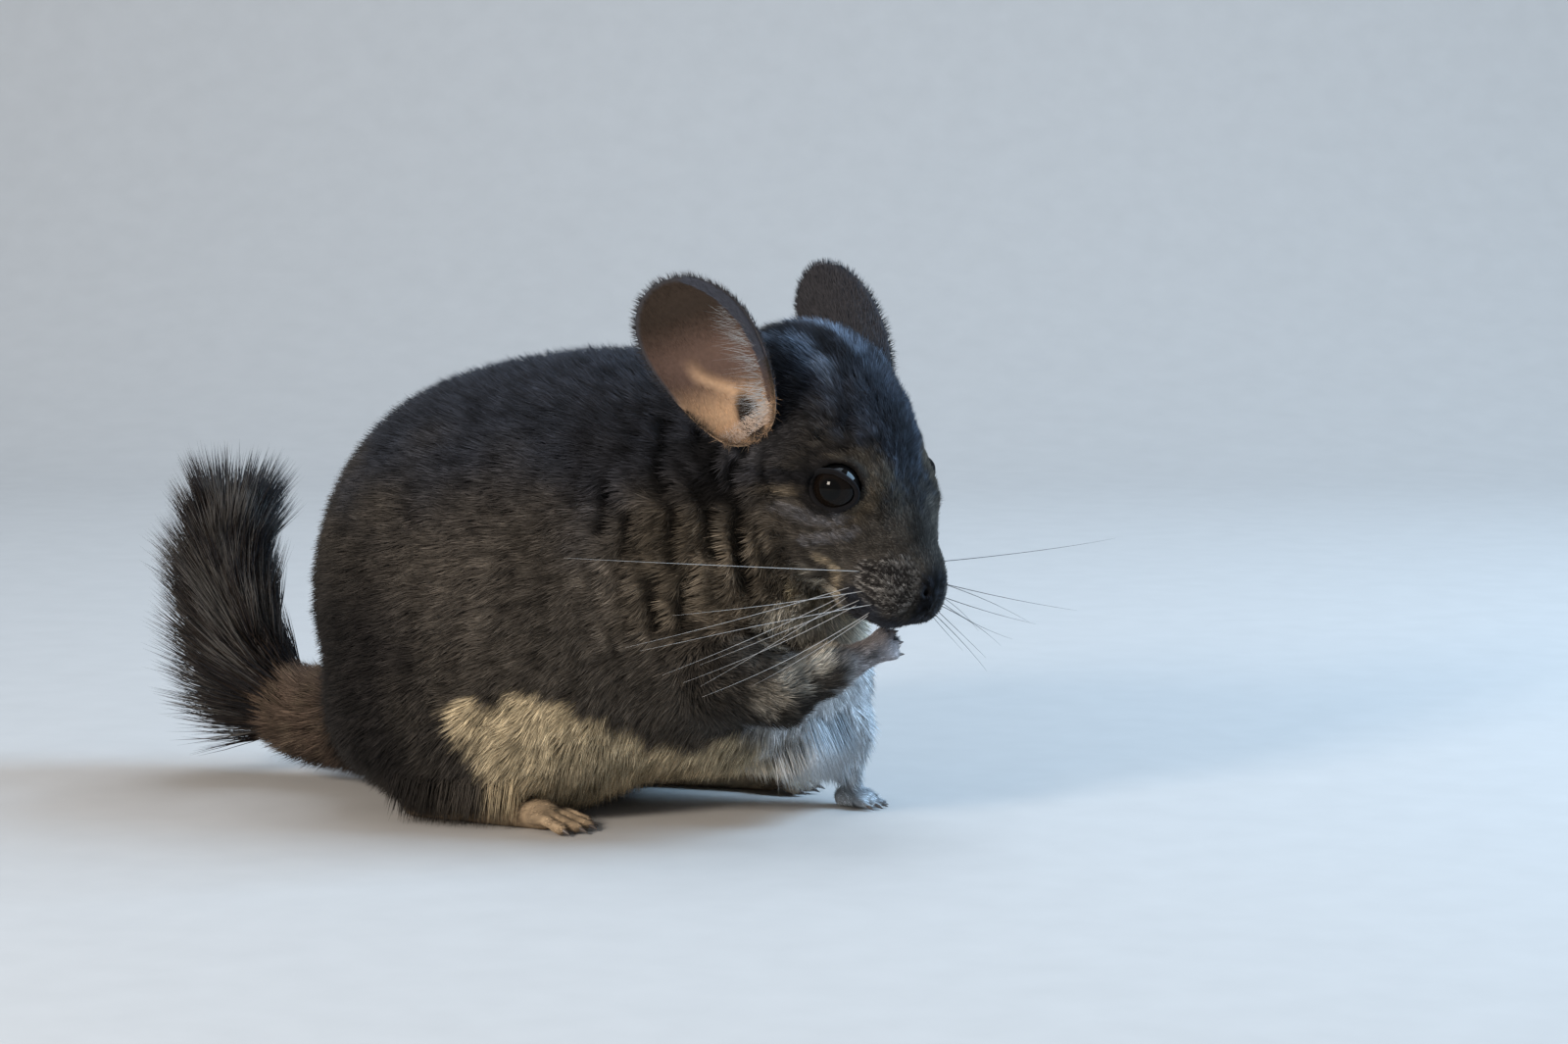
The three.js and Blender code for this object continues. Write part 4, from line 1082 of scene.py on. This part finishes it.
def noisy_colour(material, low_share, high_share, scale):
    nodes, links = material.node_tree.nodes, material.node_tree.links
    tint = nodes.new("ShaderNodeAttribute")
    tint.attribute_name = "Tint"
    place = nodes.new("ShaderNodeTexCoord")
    grain = nodes.new("ShaderNodeTexNoise")
    grain.inputs["Scale"].default_value = scale
    grain.inputs["Detail"].default_value = 3.0
    levels = nodes.new("ShaderNodeMapRange")
    levels.inputs["To Min"].default_value = low_share
    levels.inputs["To Max"].default_value = high_share
    spread = nodes.new("ShaderNodeMix")
    spread.data_type = "RGBA"
    spread.blend_type = "MULTIPLY"
    spread.inputs["Factor"].default_value = 1.0
    links.new(place.outputs["Object"], grain.inputs["Vector"])
    links.new(grain.outputs["Fac"], levels.inputs["Value"])
    links.new(tint.outputs["Color"], spread.inputs[6])
    links.new(levels.outputs["Result"], spread.inputs[7])
    links.new(spread.outputs[2], nodes["Principled BSDF"].inputs["Base Color"])


def make_material(name, roughness, specular, sheen=0.0, spread=(0.75, 1.25), scale=900.0):
    material = bpy.data.materials.new(name)
    material.use_nodes = True
    shader = material.node_tree.nodes["Principled BSDF"]
    shader.inputs["Roughness"].default_value = roughness
    shader.inputs["Specular IOR Level"].default_value = specular
    shader.inputs["Sheen Weight"].default_value = sheen
    shader.inputs["Sheen Roughness"].default_value = 0.5
    noisy_colour(material, *spread, scale)
    return material


def dress(piece, material, slot, *nodes):
    piece.data.materials.append(material)
    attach(piece, "root")
    if nodes:
        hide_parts(*nodes)
    return piece


# The skin's own unwrap: the place of every face corner on it
def unwrap(piece):
    piece.data.uv_layers.new(name="OFBake")
    bpy.context.view_layer.objects.active = piece
    piece.select_set(True)
    bpy.ops.object.mode_set(mode="EDIT")
    bpy.ops.mesh.select_all(action="SELECT")
    bpy.ops.uv.smart_project(angle_limit=math.radians(66), island_margin=0.002)
    bpy.ops.object.mode_set(mode="OBJECT")
    piece.select_set(False)
    uv = np.zeros(len(piece.data.loops) * 2, np.float32)
    piece.data.uv_layers["OFBake"].data.foreach_get("uv", uv)
    return uv.reshape(-1, 2)


def vertex_normals(piece):
    values = np.zeros(len(piece.data.vertices) * 3, np.float32)
    piece.data.vertex_normals.foreach_get("vector", values)
    return values.reshape(-1, 3).astype(float)


# The floor and the sweep behind, in the camera's axes
def make_floor():
    turn = np.linspace(0, math.pi / 2, 17)
    along = np.concatenate(([SWEEP["front"]], SWEEP["bend"] + SWEEP["radius"] * np.sin(turn),
                            [SWEEP["bend"] + SWEEP["radius"]]))
    high = np.concatenate(([0], SWEEP["radius"] * (1 - np.cos(turn)), [SWEEP["top"]]))
    ahead = rows(-math.sin(CAMERA_TURN), math.cos(CAMERA_TURN), 0)
    across = rows(math.cos(CAMERA_TURN), math.sin(CAMERA_TURN), 0)
    line = ahead * along[:, None] + rows(0, 0, 1) * high[:, None]
    verts = np.concatenate((line - across * SWEEP["half"], line + across * SWEEP["half"]))
    count = len(line)
    faces = [(k, k + count, k + count + 1, k + 1) for k in range(count - 1)]
    return verts, np.array(faces), np.tile(rows(0.50, 0.485, 0.47), (len(verts), 1))


def soft_light(name, place, size, power, colour):
    light = bpy.data.lights.new(name, "AREA")
    light.size = size
    light.energy = power
    light.color = colour
    lamp = bpy.data.objects.new(name, light)
    lamp.location = place
    lamp.rotation_euler = (Vector((0, 0, 0.06)) - Vector(place)).to_track_quat("-Z", "Y").to_euler()
    bpy.context.scene.collection.objects.link(lamp)


# Skin: body, face, ears and lids in one mesh
ears = [make_ear(side) for side in (1, -1)]
parts = [make_body_surface(), make_face_surface()] + [ear[:2] for ear in ears]
parts += [make_lid(side) for side in (1, -1)]
skin_verts, skin_faces = join(parts)
furred = len(parts[0][0]) + len(parts[1][0])
skin, _ = mesh_object("skin", skin_verts, skin_faces, np.zeros(skin_verts.shape))
skin_normals = vertex_normals(skin)
skin_tint = np.tile(INK, (len(skin_verts), 1))
bare_skin, bare_normals = skin_verts[:furred], skin_normals[:furred]
skin_tint[:furred] = 0.55 * coat_tint(bare_skin, bare_normals, part_shares(bare_skin))
ear_tints = np.concatenate([ear[2] for ear in ears])
skin_tint[furred:furred + len(ear_tints)] = ear_tints
set_tint(skin.data, skin_tint)
coat_stuff = make_material("coat", 0.85, 0.08, 0.03)
flesh_nodes = [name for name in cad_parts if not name.startswith("eye_")]
dress(skin, coat_stuff, "coat", *flesh_nodes)
loop_uv = unwrap(skin)

# The place on the unwrap of each face's corners, the last one twice for triangles
triple = skin_faces[:, 2] == skin_faces[:, 3]
sizes = np.where(triple, 3, 4)
corner = (np.cumsum(sizes) - sizes)[:, None] + np.arange(4)
corner[triple, 3] = corner[triple, 2]
face_uv = loop_uv[corner]

# The patch of the unwrap that each hair takes up, for hairs of four points and of eight
PATCHES = {4: 0.0015 * rows((-1, -1), (1, -1), (0, 1), (0, -0.2)),
           8: 0.0015 * np.stack((np.cos(np.arange(8) * math.pi / 4), np.sin(np.arange(8) * math.pi / 4)), 1)}


# One piece of hairs that share a pattern of points, at their roots' places on the unwrap
def hair_piece(name, hairs, pattern, tints, places, slot="coat", normals=None):
    count = hairs.shape[1]
    faces = (pattern[None] + (np.arange(len(hairs)) * count)[:, None, None]).reshape(-1, 3)
    tints = np.broadcast_to(tints, hairs.shape).reshape(-1, 3)
    normals = None if normals is None else normals.reshape(-1, 3)
    piece, loops = mesh_object(name, hairs.reshape(-1, 3), faces, tints, normals)
    set_uv(piece, (places[:, None] + PATCHES[count]).reshape(-1, 2)[loops])
    dress(piece, coat_stuff, slot)


# Long hair that leans out from some roots of the coat and hangs down
def hang(name, where, look, drop_of):
    chosen = chance.permutation(np.nonzero(where)[0])[:look["count"]]
    out, roots = normals[chosen], points[chosen] - normals[chosen] * 0.4
    drop = np.clip(drop_of(roots), 3, look["longest"]) * look["longer"]
    ways = zip(look["out"], (look["root_way"], look["tip_way"]), look["spread"])
    first, last = (unit(out * share + rows(*way) + chance.normal(0, spread, roots.shape))
                   for share, way, spread in ways)
    hair, pattern = strands(roots, first, last, drop, np.full(len(chosen), look["width"]),
                            np.tile(rows(*look["flat"]), (len(chosen), 1)))
    hair[:, :, 2] = np.maximum(hair[:, :, 2], 0.1)
    hair_piece(name, hair, pattern, mix(tint[chosen], WHITE * 0.9, look["pale"])[:, None], uv[chosen])


# Coat
chance = np.random.default_rng(7)
open_faces = np.all(skin_faces < furred, axis=1)
points, normals, uv = scatter(skin_verts, skin_faces[open_faces], skin_normals, face_uv[open_faces], 5)
keep = ~bare_at(points)
points, normals, uv = points[keep], normals[keep], uv[keep]
shares = part_shares(points)
verts, soft = grow(points, normals, lie_of(points, normals, shares), *tuft_sizes(points, shares), chance)
luck = chance.random(len(points))
tip_light = np.where(luck > 0.84, 1.9, np.where(luck < 0.25, 0.5, 1.05))
bands = np.tile((0.5, 0.5, 0.65, 1.0), (len(points), 1))
bands[:, 3] = tip_light
tint = coat_tint(points, normals, shares) * chance.uniform(0.82, 1.2, len(points))[:, None]
tuft_tint = tint[:, None, :] * bands[:, :, None]
order = np.argsort(points[:, 0])
for number, first in enumerate(range(0, len(order), COAT_PIECE)):
    chosen = order[first:first + COAT_PIECE]
    hair_piece(f"coat_{number:02d}", verts[chosen], NEEDLE, tuft_tint[chosen], uv[chosen],
               normals=soft[chosen])

# A curtain of hair from the chest beside the left foreleg, and hair of the haunches over the heels
x, y, z = points.T
low_chest = (x > 50) & (x < 73) & (y > -14) & (y < 27) & (z < 36) & (z > 12) & (normals[:, 2] < 0.1)
hang("chest_hair", low_chest & (shares[:, 5] < 0.3), CURTAIN,
     lambda roots: roots[:, 2] - (np.interp(roots[:, 0] + 4, CURTAIN_END["x"], CURTAIN_END["z"])
                                  + chance.uniform(0, 5, len(roots))))
low_side = (x > -44) & (x < -2) & (np.abs(y) > 33) & (z > 4) & (z < 18) & (normals[:, 2] > -0.85)
hang("haunch_hair", low_side & (shares[:, 0] > 0.8), SKIRT,
     lambda roots: roots[:, 2] * (chance.uniform(0.6, 1.05, len(roots)) * step(-50, -34, roots[:, 0])))

# The place on the unwrap that is nearest to each of some roots
middles = skin_verts[skin_faces].mean(1)
tree = KDTree(len(middles))
for number, middle in enumerate(middles):
    tree.insert(middle, number)
tree.balance()


def nearest_uv(roots):
    return face_uv[[tree.find(root)[1] for root in roots]].mean(1)


# Ear hair and tail brush
ear_fur = [ear_hair(side, chance) for side in (1, -1)]
hair, hair_soft, hair_tint = (np.concatenate(part) for part in zip(*ear_fur))
hair_piece("ear_hair", hair, NEEDLE, hair_tint[:, None], nearest_uv(hair[:, 0]), normals=hair_soft)
brush, pattern, roots, brush_tint = make_brush(chance)
hair_piece("tail_strands", brush, pattern, brush_tint, nearest_uv(roots), "tail_hair")

# Whiskers, claws and eyes
verts, faces = make_whiskers(chance)
far_side = step(-5, 5, to_head(verts)[:, 1])
whisker_tint = mix(rows(0.5, 0.49, 0.48), rows(0.02, 0.018, 0.018), far_side)
whiskers, _ = mesh_object("whiskers", verts, faces, whisker_tint)
dress(whiskers, make_material("whisker", 0.35, 0.5), "coat")
verts, faces = make_claws()
claws, _ = mesh_object("claws", verts, faces, np.tile(rows(0.11, 0.09, 0.08), (len(verts), 1)))
dress(claws, make_material("claw", 0.35, 0.5), "paw_skin")
eye_stuff = make_material("eye", 0.04, 0.13, 0.0, (0.9, 1.1))
for side, name in ((1, "eye_left"), (-1, "eye_right")):
    ball, _ = mesh_object(name + "_ball", *make_eye(side))
    dress(ball, eye_stuff, "eye", name)

# Floor, camera and lights
floor, _ = mesh_object("floor", *make_floor())
floor.data.materials.append(make_material("floor", 0.9, 0.1, 0.0, (0.95, 1.05), 60.0))
floor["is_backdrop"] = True
right = rows(math.cos(CAMERA_TURN), math.sin(CAMERA_TURN), 0)
back = rows(math.sin(CAMERA_TURN) * math.cos(CAMERA_RISE), -math.cos(CAMERA_TURN) * math.cos(CAMERA_RISE),
            math.sin(CAMERA_RISE))
target = right * CAMERA_AIM[0] + rows(0, 0, CAMERA_AIM[1]) + SHIFT
lens = bpy.data.cameras.new("camera")
lens.lens = LENS
camera = bpy.data.objects.new("camera", lens)
bpy.context.scene.collection.objects.link(camera)
camera.location = (target + back * CAMERA_AWAY) * MM
camera.rotation_euler = Vector(-back).to_track_quat("-Z", "Y").to_euler()
bpy.context.scene.camera = camera
bpy.context.scene.view_settings.view_transform = "Standard"
for name, values in LIGHTS.items():
    soft_light(name, *values)
world = bpy.data.worlds.new("world")
bpy.context.scene.world = world
world.use_nodes = True
backdrop = world.node_tree.nodes["Background"]
backdrop.inputs["Color"].default_value, backdrop.inputs["Strength"].default_value = ROOM_LIGHT

sizes = {"cad": [list(corner) for corner in cad_box], "visual": [list(corner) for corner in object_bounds()]}
